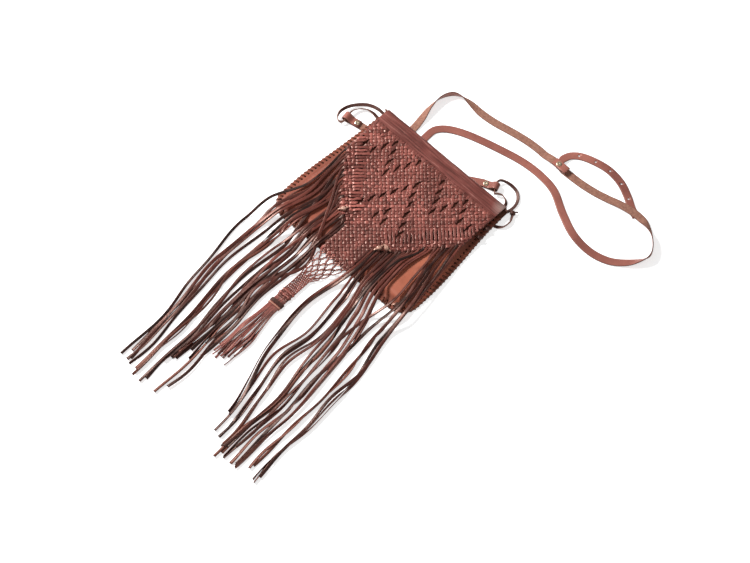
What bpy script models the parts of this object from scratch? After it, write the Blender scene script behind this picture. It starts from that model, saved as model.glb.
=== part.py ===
# A small crossbody bag of brown leather, closed and lying flat on its back.
# Metres, +Z up. The origin is the middle of the back, on the surface that the bag lies on.
# +Y runs from the fringe towards the fold of the flap, +X to the right of the front.

import math

import bmesh
import bpy
from mathutils import Matrix, Vector

# Leather and clearances
GAP = 0.0003
LEATHER = 0.0016
STRAP_WIDTH = 0.012
STRAP_THICK = 0.0016

# Pouch
POUCH_TOP_HALF = 0.1205
POUCH_LOW_HALF = 0.134
POUCH_WIDEST_Y = -0.066
POUCH_BOTTOM = -0.113
POUCH_CORNER = 0.028
MOUTH_Y = 0.100
POCKET_HEIGHT = 0.0079
SHOULDER_WIDTH = 0.0125
RIM_WIDTH = 0.0085
RAISE_START_Y = 0.008
RAISE_END_Y = 0.062

# Whip stitches round the rim
STITCH_PITCH = 0.0066
STITCH_HEIGHT = 0.0009
STITCH_REACH = 0.0050
STITCH_EDGE = 0.0012
HOLE_DEPTH = 0.0006

# Fold of the flap
FOLD_Y = 0.111
FOLD_LIP_END = math.radians(78)
FOLD_STEPS = 10

# Flap and its plait
FLAP_WIDTH = 0.232
HALF_STRIPS = 30
PLAIT_TOP = 0.090
PLAIT_ROW = 0.00375
PLAIT_LOW = 0.0014
PLAIT_HIGH = 0.0026
SLIT_HALF = 0.0015
VEE_TOP_Y = 0.025
VEE_TOP_X = 0.114
VEE_TIP_X = 0.048
VEE_TIP_Y = -0.056
VEE_FLAT_SLOPE = 0.5
COLUMN_HALF_STRIPS = 7
COLUMN_END_ROW = 54
FLAT_ANGLE = math.radians(0.06)

# Tail below the plait: an open net, a narrow plait and a tassel
NET_END_ROW = 68
TAIL_END_ROW = 80
NET_END_Y = -0.163
TAIL_END_Y = -0.205
TAIL_WIDTH = 0.0200
TAIL_OFFSET = -0.012
TASSEL_END_Y = -0.340
TASSEL_SPREAD = 0.0245
TASSEL_OFFSET = -0.0100
TASSEL_LEAD = 0.0015
TASSEL_FLARE = 0.018
NET_NARROWING = 0.8
BINDING_DROP = 0.0080
BINDING_LENGTH = 0.007
BINDING_WALL = 0.0013
TAIL_RING_WALL = 0.0012
TAIL_RING_LENGTH = 0.0030

# Fringe
FRINGE_WIDTH = 0.0029
FRINGE_THICK = 0.0014
FRINGE_DROP_Y = -0.106
FRINGE_FLOOR_Y = -0.150
STRIP_END_MARGIN = 0.012

# Rivets
RIVET_RADIUS = 0.0040
RIVET_POST = 0.0012
RIVET_HOLE = 0.0016
RIVET_CAP = 0.0010
RIVET_WASHER = 0.0006
RIVET_SIDES = 12

# Side loops and strap ends
LOOP_WIDTH = 0.0050
LOOP_THICK = 0.0014
ROLL_RADIUS = 0.0036
STRAP_HOLE = 0.0014

# Worked out from the values above
BACK_RISE = STRAP_THICK + GAP
RIM_Z = LEATHER + GAP
FRONT_UNDER = LEATHER + POCKET_HEIGHT
FRONT_TOP = FRONT_UNDER + LEATHER
FLAP_UNDER = FRONT_TOP + GAP
FOLD_RADIUS = (FLAP_UNDER - GAP - BACK_RISE) / 2
HINGE_Z = BACK_RISE + FOLD_RADIUS
STRIP = FLAP_WIDTH / (2 * HALF_STRIPS)
TAIL_Z = BINDING_WALL + 2 * GAP
TAIL_PITCH = TAIL_WIDTH / (2 * COLUMN_HALF_STRIPS)
BINDING_START_Y = TAIL_END_Y - BINDING_DROP
MM = 0.001


def clear_scene():
    for thing in list(bpy.data.objects):
        bpy.data.objects.remove(thing, do_unlink=True)


def make_material(name, colour, roughness, metallic=0.0):
    material = bpy.data.materials.new(name)
    material.use_nodes = True
    shader = material.node_tree.nodes["Principled BSDF"]
    shader.inputs["Base Color"].default_value = (*colour, 1.0)
    shader.inputs["Roughness"].default_value = roughness
    shader.inputs["Metallic"].default_value = metallic
    return material


def add_object(name, bm, colour, roughness, metallic=0.0, smooth=False):
    bmesh.ops.recalc_face_normals(bm, faces=bm.faces)
    mesh = bpy.data.meshes.new(name)
    bm.to_mesh(mesh)
    bm.free()
    if smooth:
        mesh.shade_smooth()
        mesh.set_sharp_from_angle(angle=math.radians(40))
    mesh.materials.append(make_material(name + "_finish", colour, roughness, metallic))
    thing = bpy.data.objects.new(name, mesh)
    bpy.context.scene.collection.objects.link(thing)
    return thing


def hang_on_fold(pieces):
    """Put the pieces that swing with the flap under an empty on the fold's axis."""
    pivot = bpy.data.objects.new("flap_pivot", None)
    pivot.location = (0.0, FOLD_Y, HINGE_Z)
    bpy.context.scene.collection.objects.link(pivot)
    for piece in pieces:
        piece.parent = pivot
        piece.matrix_parent_inverse = Matrix.Translation((0.0, -FOLD_Y, -HINGE_Z))


def ease(t):
    t = min(max(t, 0.0), 1.0)
    return t * t * (3 - 2 * t)


def mix(a, b, t):
    return a + (b - a) * t


# Outline of the pouch

CORNER_Y = POUCH_BOTTOM + POUCH_CORNER
RIM_SIDE = MOUTH_Y - CORNER_Y
RIM_ARC = POUCH_CORNER * math.pi / 2
RIM_BOTTOM = 2 * (POUCH_LOW_HALF - POUCH_CORNER)
RIM_LENGTH = 2 * RIM_SIDE + 2 * RIM_ARC + RIM_BOTTOM


def side_half(y):
    """Half the pouch's width at the height y on its straight sides."""
    share = ease((FOLD_Y - y) / (FOLD_Y - POUCH_WIDEST_Y))
    return mix(POUCH_TOP_HALF, POUCH_LOW_HALF, share)


def back_z(y):
    """Height of the back panel's underside, which rises over the strap below the fold."""
    return BACK_RISE * ease((y - RAISE_START_Y) / (RAISE_END_Y - RAISE_START_Y))


def rim_point(along, inset):
    """A point on the rim, from the left end of the mouth round the bottom to the right end."""
    if along > RIM_LENGTH / 2:
        x, y = rim_point(RIM_LENGTH - along, inset)
        return -x, y
    if along < RIM_SIDE:
        y = MOUTH_Y - along
        return inset - side_half(y), y
    along -= RIM_SIDE
    if along < RIM_ARC:
        turn = along / POUCH_CORNER
        reach = POUCH_CORNER - inset
        x = POUCH_CORNER - POUCH_LOW_HALF - reach * math.cos(turn)
        return x, CORNER_Y - reach * math.sin(turn)
    along -= RIM_ARC
    return POUCH_CORNER - POUCH_LOW_HALF + along, POUCH_BOTTOM + inset


# Back panel, with the lip that the flap folds over

def make_back_panel():
    rows = []
    steps = 6
    for k in range(1, steps + 1):
        turn = math.pi / 2 * k / steps
        y = CORNER_Y - POUCH_CORNER * math.cos(turn)
        half = POUCH_LOW_HALF - POUCH_CORNER + POUCH_CORNER * math.sin(turn)
        rows.append((half, y, back_z(y), y, back_z(y) + LEATHER))
    first = POUCH_LOW_HALF - POUCH_CORNER
    rows.insert(0, (first, POUCH_BOTTOM, 0.0, POUCH_BOTTOM, LEATHER))
    steps = 24
    for k in range(1, steps + 1):
        y = mix(CORNER_Y, FOLD_Y, k / steps)
        rows.append((side_half(y), y, back_z(y), y, back_z(y) + LEATHER))
    inner = FOLD_RADIUS - LEATHER
    for k in range(1, FOLD_STEPS + 1):
        turn = mix(-math.pi / 2, FOLD_LIP_END, k / FOLD_STEPS)
        y, z = math.cos(turn), math.sin(turn)
        outer_y, outer_z = FOLD_Y + FOLD_RADIUS * y, HINGE_Z + FOLD_RADIUS * z
        inner_y, inner_z = FOLD_Y + inner * y, HINGE_Z + inner * z
        rows.append((POUCH_TOP_HALF, outer_y, outer_z, inner_y, inner_z))
    bm = bmesh.new()
    rings = []
    for half, y0, z0, y1, z1 in rows:
        corners = ((-half, y0, z0), (half, y0, z0), (half, y1, z1), (-half, y1, z1))
        rings.append([bm.verts.new(c) for c in corners])
    join_rings(bm, rings)
    return add_object("back_panel", bm, (0.20, 0.075, 0.045), 0.6)


def join_rings(bm, rings, closed=False):
    """Skin a tube through rings of equal size, with a flat cap at each end."""
    size = len(rings[0])
    pairs = list(zip(rings, rings[1:]))
    if closed:
        pairs.append((rings[-1], rings[0]))
    for a, b in pairs:
        for k in range(size):
            m = (k + 1) % size
            bm.faces.new((a[k], a[m], b[m], b[k]))
    if not closed:
        bm.faces.new(list(reversed(rings[0])))
        bm.faces.new(rings[-1])


# Front panel: a shallow dish with a whip-stitched rim

def make_front_panel():
    stitches = 4 * round(RIM_LENGTH / STITCH_PITCH / 4)
    fine = 2 * stitches
    coarse = 4
    bm = bmesh.new()

    def rim_ring(inset, lift, step=1):
        ring = []
        for k in range(0, fine + 1, step):
            x, y = rim_point(RIM_LENGTH * k / fine, inset)
            ring.append(bm.verts.new((x, y, back_z(y) + RIM_Z + lift(k))))
        return ring

    def dish_ring(inset, share, under):
        ring = []
        for k in range(0, fine + 1, coarse):
            x, y = rim_point(RIM_LENGTH * k / fine, inset)
            low = back_z(y) + RIM_Z
            ring.append(bm.verts.new((x, y, mix(low, FRONT_UNDER, share) + (0.0 if under else LEATHER))))
        return ring

    def stitch(k):
        return LEATHER + (STITCH_HEIGHT if k % 2 else 0.0)

    def hole(k):
        return LEATHER - (HOLE_DEPTH if k % 2 else 0.0)

    def same(a, b):
        for k in range(len(a) - 1):
            bm.faces.new((a[k], a[k + 1], b[k + 1], b[k]))

    def fan(a, b):
        for k in range(len(b) - 1):
            start = k * coarse
            half = start + coarse // 2
            for m in range(start, half):
                bm.faces.new((a[m], a[m + 1], b[k]))
            for m in range(half, start + coarse):
                bm.faces.new((a[m], a[m + 1], b[k + 1]))
            bm.faces.new((b[k], a[half], b[k + 1]))

    edge = rim_ring(0.0, lambda k: LEATHER)
    outer = rim_ring(STITCH_EDGE, stitch)
    inner = rim_ring(STITCH_REACH, stitch)
    holes = rim_ring(STITCH_REACH + STITCH_EDGE, hole)
    shoulder = ((0.0, 0.0), (0.5, 0.6), (1.0, 1.0))
    top, under = [], []
    for across, share in shoulder:
        inset = RIM_WIDTH + SHOULDER_WIDTH * across
        top.append(dish_ring(inset, share, False))
        under.append(dish_ring(inset + LEATHER * share, share, True))
    below = rim_ring(0.0, lambda k: 0.0, coarse)
    same(edge, outer)
    same(outer, inner)
    same(inner, holes)
    fan(holes, top[0])
    for a, b in zip(top, top[1:]):
        same(a, b)
    bm.faces.new(top[-1])
    fan(edge, below)
    same(below, under[0])
    for a, b in zip(under, under[1:]):
        same(a, b)
    bm.faces.new(under[-1])
    for end in (0, -1):
        bm.faces.new([ring[end] for ring in (edge, outer, inner, holes, *top, *reversed(under), below)])
    bm.faces.new((top[-1][0], top[-1][-1], under[-1][-1], under[-1][0]))
    return add_object("front_panel", bm, (0.33, 0.10, 0.055), 0.45)


# Flap: one sheet, cut into strips that are plaited and then hang as fringe
# A lattice point (i, j) lies i half strips from the middle and j rows below the band,
# and each plaited pad is the diamond round a point whose i + j is odd.

MAIN_SLITS = (
    (2, (6, 18)),
    (6, (8, 16, 20)),
    (10, (0, 10, 14, 22, 26)),
    (14, (2, 12)),
    (18, (4,)),
    (22, (6,)),
    (26, (0, 8)),
    (30, (2, 10)),
)
LEANING_SLITS = ((24, 12), (21, 17), (18, 20), (16, 24), (14, 28), (11, 31))
NET_SLITS = ((56, (0, 4)), (58, (2, 6)), (62, (0, 4)), (64, (2, 6)))


def find_slits():
    slits = set()
    for row, columns in MAIN_SLITS + NET_SLITS:
        for column in columns:
            slits.update(((column, row), (-column, row)))
    for column, row in LEANING_SLITS:
        for side in (-1, 1):
            slits.add((side * column, row))
            slits.add((side * (column + 1), row + 3))
    return slits


def last_row(strip):
    """The last plaited row in a half strip, counted from the middle: the V of the flap."""
    if strip < COLUMN_HALF_STRIPS:
        return TAIL_END_ROW
    x = (strip + 0.5) * STRIP
    if x < VEE_TIP_X:
        y = VEE_TIP_Y - VEE_FLAT_SLOPE * (VEE_TIP_X - x)
    else:
        slope = (VEE_TOP_Y - VEE_TIP_Y) / (VEE_TOP_X - VEE_TIP_X)
        y = VEE_TIP_Y + slope * (x - VEE_TIP_X)
    return int((PLAIT_TOP - y) / PLAIT_ROW)


def lattice_place(i, j):
    """Where a lattice point lies, and the height of the leather's underside there."""
    column_end = PLAIT_TOP - COLUMN_END_ROW * PLAIT_ROW
    if j <= COLUMN_END_ROW:
        return i * STRIP, PLAIT_TOP - j * PLAIT_ROW, FLAP_UNDER
    if j <= NET_END_ROW:
        t = (j - COLUMN_END_ROW) / (NET_END_ROW - COLUMN_END_ROW)
        y = mix(column_end, NET_END_Y, t)
        fall = (FRINGE_DROP_Y - y) / (FRINGE_DROP_Y - FRINGE_FLOOR_Y)
        z = mix(FLAP_UNDER, TAIL_Z, min(max(fall, 0.0), 1.0))
        return TAIL_OFFSET * t + i * mix(STRIP, TAIL_PITCH, t ** NET_NARROWING), y, z
    t = (j - NET_END_ROW) / (TAIL_END_ROW - NET_END_ROW)
    return TAIL_OFFSET + i * TAIL_PITCH, mix(NET_END_Y, TAIL_END_Y, t), TAIL_Z


class Plait:
    """Gathers the lattice's points and the faces of its upper side and underside."""

    def __init__(self):
        self.bm = bmesh.new()
        self.slits = find_slits()
        self.tops, self.lows = {}, {}
        self.under = []

    def key(self, i, j, side):
        """A corner seen from its left (-1) or right (1), which differ where a slit parts it."""
        return (i, j, side if (i, j) in self.slits else 0)

    def place(self, key):
        i, j, side = key
        x, y, z = lattice_place(i, j)
        spread = (lattice_place(i + 1, j)[0] - x) / STRIP
        return x + side * SLIT_HALF * spread, y, z

    def corner(self, key, upper):
        store = self.tops if upper else self.lows
        if key not in store:
            x, y, z = self.place(key)
            store[key] = self.bm.verts.new((x, y, z + (PLAIT_LOW if upper else 0.0)))
        return store[key]

    def pad(self, i, j):
        """A whole diamond, raised at its centre, or flat in the tail."""
        keys = [(i, j - 1, 0), self.key(i - 1, j, 1), (i, j + 1, 0), self.key(i + 1, j, -1)]
        self.under.append(keys)
        if j > COLUMN_END_ROW:
            self.bm.faces.new([self.corner(key, True) for key in keys])
            return
        x, y, z = lattice_place(i, j)
        peak = self.bm.verts.new((x, y, z + PLAIT_HIGH))
        for k in range(4):
            a, b = self.corner(keys[k], True), self.corner(keys[(k + 1) % 4], True)
            self.bm.faces.new((a, b, peak))

    def half_pad(self, i, j, side):
        """The left (-1) or right (1) half of a diamond, flat, beside a slit or an edge."""
        keys = [self.key(i, j - 1, side), self.key(i + side, j, -side), self.key(i, j + 1, side)]
        self.bm.faces.new([self.corner(key, True) for key in keys])
        self.under.append(keys)


def half_strip_of(i, side):
    """Which half strip, counted from the middle, lies to one side of column i."""
    left_column = i if side > 0 else i - 1
    return left_column if left_column >= 0 else -left_column - 1


def vee_pad(x):
    """The last whole pad above the V's edge, nearest to x from the middle."""
    i = round(x / STRIP)
    j = min(last_row(half_strip_of(i, side)) for side in (-1, 1))
    return i, j if (i + j) % 2 else j - 1


def merge_flat(bm, faces):
    """Merge the small faces of the underside into large ones where they lie in one plane."""
    faces = set(faces)
    inside = [e for e in bm.edges if len(e.link_faces) == 2 and all(f in faces for f in e.link_faces)]
    loose = [v for v in bm.verts if v.link_faces and all(f in faces for f in v.link_faces)]
    bmesh.ops.dissolve_limit(bm, angle_limit=FLAT_ANGLE, verts=loose, edges=inside)


def make_flap():
    plait = Plait()
    bm = plait.bm
    has = {}
    for j in range(0, TAIL_END_ROW + 1):
        for i in range(-HALF_STRIPS, HALF_STRIPS + 1):
            if (i + j) % 2 == 0:
                continue
            for side in (-1, 1):
                if abs(i + side) <= HALF_STRIPS:
                    has[i, j, side] = j <= last_row(half_strip_of(i, side))
    for (i, j, side), there in has.items():
        if not there:
            continue
        parted = (i, j - 1) in plait.slits or (i, j + 1) in plait.slits
        if j == 0:
            keys = [(i, 0, 0), (i + side, 0, 0), plait.key(i, 1, side)]
            bm.faces.new([plait.corner(key, True) for key in keys])
            plait.under.append(keys)
            continue
        if not parted and has.get((i, j, -side)):
            if side > 0:
                plait.pad(i, j)
            continue
        plait.half_pad(i, j, side)
    top_keys = [(i, 0, 0) for i in range(-HALF_STRIPS, HALF_STRIPS + 1)]
    upper_row = [plait.corner(key, True) for key in top_keys]
    under_row = [plait.corner(key, False) for key in top_keys]
    ends = (-FLAP_WIDTH / 2, FLAP_WIDTH / 2)
    root_top = [bm.verts.new((x, FOLD_Y, FLAP_UNDER + LEATHER)) for x in ends]
    root_low = [bm.verts.new((x, FOLD_Y, FLAP_UNDER)) for x in ends]
    bm.faces.new((root_top[0], *upper_row, root_top[1]))
    bm.faces.new((root_low[0], *under_row, root_low[1]))
    under = [bm.faces.new([plait.corner(key, False) for key in keys]) for keys in plait.under]
    close_walls(bm, plait)
    merge_flat(bm, under)
    bm.faces.new((root_top[0], root_top[1], root_low[1], root_low[0]))
    for k, row_end in ((0, 0), (1, -1)):
        bm.faces.new((root_top[k], upper_row[row_end], under_row[row_end], root_low[k]))
    return add_object("flap", bm, (0.24, 0.075, 0.05), 0.45)


def close_walls(bm, plait):
    """Join the upper side to the underside round every edge, and draw out the cut strips."""
    key_of = {vert: key for key, vert in plait.tops.items()}
    rims = [e for e in bm.edges if len(e.link_faces) == 1 and all(v in key_of for v in e.verts)]
    for edge in rims:
        a, b = sorted((key_of[v] for v in edge.verts), key=lambda key: (key[0], key[1]))
        ring = [plait.tops[a], plait.tops[b], plait.lows[b], plait.lows[a]]
        if abs(a[0] - b[0]) == 1 and abs(a[1] - b[1]) == 1:
            strip = a[0] if a[0] >= 0 else -b[0]
            side = 1 if a[0] >= 0 else -1
            rings = [ring]
            for place in strip_path(side, strip):
                rings.append([bm.verts.new(corner) for corner in strip_corners(*place)])
            for low, high in zip(rings, rings[1:]):
                for k in range(4):
                    m = (k + 1) % 4
                    bm.faces.new((low[k], low[m], high[m], high[k]))
            bm.faces.new(rings[-1])
        else:
            bm.faces.new(ring)


def strip_corners(x, y, z, lean, width, thick):
    """The four corners of a hanging strip's section, which leans sideways by lean per metre."""
    length = math.hypot(1.0, lean)
    dx, dy = width / 2 / length, width / 2 * lean / length
    left, right = (x - dx, y - dy), (x + dx, y + dy)
    return (*left, z + thick), (*right, z + thick), (*right, z), (*left, z)


# The fringe lies in locks: for each, its strips counted from the middle, the distances
# from the middle line of its inner and outer strip at each level, and where they end.

RIGHT_LEVELS = (-0.106, -0.150, -0.219, -0.276, -0.332, -0.389, -0.450)
LEFT_LEVELS = (-0.106, -0.150, -0.219, -0.332, -0.450)
RIGHT_LOCKS = (
    (0, 1, ((30.5, 34.7), (21.5, 26), (18.5, 23), (27, 31.5), (45, 49.5), (63, 67), (66, 70)), (386, 394)),
    (2, 6, ((39, 56), (46, 64), (54, 72), (46, 64), (58, 76), (71.5, 87), (74, 89)), (420, 436)),
    (7, 9, ((60, 68), (69, 77.5), (78, 87), (84, 93), (93, 102), (92, 100), (93, 101)), (428, 443)),
    (10, 15, ((72, 93), (82, 104), (96, 116), (102, 122), (108, 129), (106, 127), (107, 128)), (452, 440)),
    (16, 22, ((97, 124), (111, 137), (130, 157), (136, 162), (140, 165), (142, 167), (144, 170)), (425, 441)),
)
LEFT_LOCKS = (
    (0, 9, ((31, 67), (33, 72), (33, 76), (30, 68), (30, 65)), (336, 402)),
    (10, 22, ((71, 124), (78, 130), (84, 131), (73, 116.5), (68, 109)), (446, 424)),
)


def strip_path(side, strip):
    if strip < COLUMN_HALF_STRIPS:
        return tassel_path(side * (strip + 0.5))
    number = strip - COLUMN_HALF_STRIPS
    locks, levels = (RIGHT_LOCKS, RIGHT_LEVELS) if side > 0 else (LEFT_LOCKS, LEFT_LEVELS)
    for first, last, reach, ends in locks:
        if first <= number <= last:
            share = (number - first) / (last - first)
            xs = [side * mix(inner, outer, share) * MM for inner, outer in reach]
            end_y = -mix(*ends, share) * MM
            return fringe_path(levels, xs, end_y)
    return []


def fringe_path(levels, xs, end_y):
    """Sections of one strip: level on the pouch, then down to the surface and out to its end."""
    stops = [(y, x) for y, x in zip(levels, xs) if y > end_y + STRIP_END_MARGIN]
    below = [(y, x) for y, x in zip(levels, xs) if y <= end_y + STRIP_END_MARGIN]
    y0, x0 = stops[-1]
    y1, x1 = below[0] if below else (end_y - STRIP_END_MARGIN, x0)
    stops.append((end_y, mix(x0, x1, (end_y - y0) / (y1 - y0))))
    path = []
    for k, (y, x) in enumerate(stops):
        y0, x0 = stops[max(k - 1, 0)]
        y1, x1 = stops[min(k + 1, len(stops) - 1)]
        fall = (FRINGE_DROP_Y - y) / (FRINGE_DROP_Y - FRINGE_FLOOR_Y)
        z = mix(FLAP_UNDER, 0.0, min(max(fall, 0.0), 1.0))
        path.append((x, y, z, (x1 - x0) / (y0 - y1), FRINGE_WIDTH, FRINGE_THICK))
    return path


def tassel_path(place):
    spread = TASSEL_SPREAD / (2 * COLUMN_HALF_STRIPS)
    bound = BINDING_START_Y - BINDING_LENGTH - 2 * TAIL_RING_LENGTH
    above = BINDING_START_Y + TASSEL_LEAD
    stops = ((above, 0.0), (bound, 0.0), (bound - TASSEL_FLARE, 0.35), (TASSEL_END_Y, 1.0))
    path = []
    for y, share in stops:
        pitch = mix(TAIL_PITCH, spread, share)
        x = mix(TAIL_OFFSET, TASSEL_OFFSET, share) + place * pitch
        z = TAIL_Z if share == 0.0 else 0.0
        path.append((x, y, z, 0.0, pitch - GAP, PLAIT_LOW))
    return path


# Tail binding and the ring below it

def make_band_round_tail(name, start_y, length, wall, colour):
    """A flat thong wound once round the tassel's neck, with rounded outer corners."""
    half_w = TAIL_WIDTH / 2 + GAP
    half_h = PLAIT_LOW / 2 + GAP
    centre_z = TAIL_Z + PLAIT_LOW / 2
    bm = bmesh.new()
    rings = []
    for y in (start_y, start_y - length):
        outer, inner = [], []
        for quarter in range(4):
            sx = 1 if quarter in (0, 3) else -1
            sz = 1 if quarter in (0, 1) else -1
            for step in range(3):
                turn = math.pi / 2 * (quarter + step / 2)
                across, up = math.cos(turn), math.sin(turn)
                cx, cz = TAIL_OFFSET + sx * half_w, centre_z + sz * half_h
                inner.append(bm.verts.new((cx - sx * GAP + across * GAP, y, cz - sz * GAP + up * GAP)))
                outer.append(bm.verts.new((cx + across * wall, y, cz + up * wall)))
        rings.append((outer, inner))
    (outer_a, inner_a), (outer_b, inner_b) = rings
    count = len(outer_a)
    for k in range(count):
        m = (k + 1) % count
        bm.faces.new((outer_a[k], outer_a[m], outer_b[m], outer_b[k]))
        bm.faces.new((inner_a[k], inner_b[k], inner_b[m], inner_a[m]))
        bm.faces.new((outer_a[k], inner_a[k], inner_a[m], outer_a[m]))
        bm.faces.new((outer_b[k], outer_b[m], inner_b[m], inner_b[k]))
    return add_object(name, bm, colour, 0.5)


# Knots: short thongs pulled tight

def make_knot(name, x, y, seat, radius, flatten, turn, colour, roughness):
    """A thong's knot as two crossed rounded humps that sit at the height seat."""
    bm = bmesh.new()
    bmesh.ops.create_uvsphere(bm, u_segments=10, v_segments=6, radius=radius)
    for vert in bm.verts:
        around = math.atan2(vert.co.y, vert.co.x)
        level = math.hypot(vert.co.x, vert.co.y) / radius
        swell = 1.0 + 0.22 * level * math.cos(2 * around) + 0.08 * level * math.cos(4 * around)
        vert.co.x *= swell
        vert.co.y *= swell
        vert.co.z *= flatten
    thing = add_object(name, bm, colour, roughness, smooth=True)
    thing.location = (x, y, seat + radius * flatten)
    thing.rotation_euler = (0.0, 0.0, turn)
    return thing


# Straps and loops: flat strips swept along their route

def curve_through(points, steps):
    """A smooth curve through the points, as a list of tuples of the same kind."""
    route = []
    for k in range(len(points) - 1):
        p0 = points[max(k - 1, 0)]
        p1, p2 = points[k], points[k + 1]
        p3 = points[min(k + 2, len(points) - 1)]
        for step in range(steps):
            t = step / steps
            row = []
            for a, b, c, d in zip(p0, p1, p2, p3):
                square = (2 * a - 5 * b + 4 * c - d) * t * t
                cube = (3 * b - a - 3 * c + d) * t * t * t
                row.append(0.5 * (2 * b + (c - a) * t + square + cube))
            route.append(tuple(row))
    route.append(tuple(points[-1]))
    return route


def lay_strip(points, steps, width, thick):
    """Sections along a route of (x, y, lift, tilt) in millimetres and degrees.

    Lift is the height of the strip's lowest edge. At tilt 0 the smooth side is up, at 90
    the strip stands on edge with its smooth side to the right, and at 180 it lies face down.
    """
    route = curve_through(points, steps)
    sections = []
    for k, (x, y, lift, tilt) in enumerate(route):
        x0, y0 = route[max(k - 1, 0)][:2]
        x1, y1 = route[min(k + 1, len(route) - 1)][:2]
        left = Vector((y0 - y1, x1 - x0, 0.0)).normalized()
        lean = math.radians(tilt)
        across = left * math.cos(lean) + Vector((0, 0, math.sin(lean)))
        normal = Vector((0, 0, math.cos(lean))) - left * math.sin(lean)
        height = (width * abs(math.sin(lean)) + thick * abs(math.cos(lean))) / 2
        centre = Vector((x * MM, y * MM, max(lift, 0.0) * MM + height))
        sections.append((centre, across, normal))
    return sections


def make_strip(name, sections, width, thick, colour, roughness):
    bm = bmesh.new()
    rings = []
    for centre, across, normal in sections:
        a, n = across * (width / 2), normal * (thick / 2)
        corners = (centre + a + n, centre - a + n, centre - a - n, centre + a - n)
        rings.append([bm.verts.new(corner) for corner in corners])
    join_rings(bm, rings)
    return add_object(name, bm, colour, roughness)


def drill(thing, name, x, y, z, radius, depth):
    """Cut an upright hole with a hidden cutter."""
    bm = bmesh.new()
    bmesh.ops.create_cone(
        bm, cap_ends=True, segments=10, radius1=radius, radius2=radius, depth=depth
    )
    mesh = bpy.data.meshes.new(name)
    bm.to_mesh(mesh)
    bm.free()
    cutter = bpy.data.objects.new(name, mesh)
    bpy.context.scene.collection.objects.link(cutter)
    cutter.location = (x, y, z)
    cutter.hide_render = True
    cutter.display_type = "WIRE"
    cut = thing.modifiers.new(name, "BOOLEAN")
    cut.operation = "DIFFERENCE"
    cut.solver = "EXACT"
    cut.object = cutter


def roll(start, heading, z_from, z_to, across, steps=6):
    """Sections of a strip that turns back on itself, from one height to another."""
    radius = abs(z_to - z_from) / 2
    rise = 1 if z_to > z_from else -1
    middle = (z_from + z_to) / 2
    sections = []
    for k in range(1, steps):
        turn = math.pi * k / steps
        out = Vector((heading[0], heading[1], 0.0)) * math.sin(turn)
        up = Vector((0, 0, -rise * math.cos(turn)))
        spot = Vector((start[0], start[1], middle)) + (out + up) * radius
        sections.append((spot, across, out + up))
    return sections


def layer(start, heading, stops, across, normal, base):
    """Flat sections from start along heading: each stop is (distance, height above base)."""
    sections = []
    for distance, height in stops:
        x = start[0] + heading[0] * distance
        y = start[1] + heading[1] * distance
        sections.append((Vector((x, y, base + height)), across, normal))
    return sections


STRAP_STEP = STRAP_THICK + GAP
TAB_LOW_Z = RIVET_WASHER + GAP + STRAP_THICK / 2
TAB_ROLL_HEIGHT = 2 * ROLL_RADIUS + STRAP_THICK
STRAP_COLOUR = (0.34, 0.15, 0.10)


def unit(x, y):
    length = math.hypot(x, y)
    return x / length, y / length


def left_of(heading):
    return Vector((-heading[1], heading[0], 0.0))


# Rivets

def turn_profile(name, profile, x, y, colour, closed=False):
    """A round piece from (radius, height) points; a closed profile makes a ring."""
    bm = bmesh.new()
    rings = []
    for radius, z in profile:
        if radius == 0.0:
            rings.append([bm.verts.new((x, y, z))])
            continue
        ring = []
        for k in range(RIVET_SIDES):
            turn = 2 * math.pi * k / RIVET_SIDES
            ring.append(bm.verts.new((x + radius * math.cos(turn), y + radius * math.sin(turn), z)))
        rings.append(ring)
    pairs = list(zip(rings, rings[1:]))
    if closed:
        pairs.append((rings[-1], rings[0]))
    for a, b in pairs:
        for k in range(RIVET_SIDES):
            m = (k + 1) % RIVET_SIDES
            if len(a) == 1:
                bm.faces.new((a[0], b[k], b[m]))
            elif len(b) == 1:
                bm.faces.new((a[k], a[m], b[0]))
            else:
                bm.faces.new((a[k], a[m], b[m], b[k]))
    return add_object(name, bm, colour, 0.3, 1.0, smooth=True)


def make_rivet(name, x, y, foot, layers):
    """A capped rivet: its washer lies at foot, under so many layers of strap."""
    brass = (0.62, 0.50, 0.36)
    low = foot + RIVET_WASHER + GAP
    seat = low + layers * STRAP_THICK + (layers - 1) * GAP + GAP
    top = seat + RIVET_CAP
    dimple = RIVET_POST * 0.9
    floor = top - RIVET_CAP / 2
    cap = (
        (0.0, floor),
        (dimple, floor),
        (dimple, top),
        (RIVET_RADIUS * 0.8, top - RIVET_CAP * 0.12),
        (RIVET_RADIUS, seat + RIVET_CAP * 0.35),
        (RIVET_RADIUS, seat),
        (RIVET_POST, seat),
        (RIVET_POST, foot + GAP / 2),
        (0.0, foot + GAP / 2),
    )
    turn_profile(name + "_cap", cap, x, y, brass)
    washer = (
        (RIVET_HOLE, foot),
        (RIVET_RADIUS, foot),
        (RIVET_RADIUS, foot + RIVET_WASHER),
        (RIVET_HOLE, foot + RIVET_WASHER),
    )
    turn_profile(name + "_washer", washer, x, y, brass, closed=True)


# Strap ends: the left one folds up over its loop, the right one folds down under it

LEFT_TAB_HEADING = unit(-0.98, -0.2)
LEFT_ROLL_OUT = 0.0325
LEFT_ROLL = (-POUCH_TOP_HALF - LEFT_ROLL_OUT, 0.0675)
LEFT_RIVET_BACK = 0.0172
RIGHT_TAB_HEADING = unit(0.94, 0.34)
RIGHT_ROLL_IN = 0.0405
RIGHT_ROLL = (POUCH_TOP_HALF - RIGHT_ROLL_IN, 0.1320)
RIGHT_RIVET_BACK = 0.0150
TAB_END_BACK = 0.0050
PINCH_BACK = 0.0115


def along(start, heading, distance):
    return start[0] + heading[0] * distance, start[1] + heading[1] * distance


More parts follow.
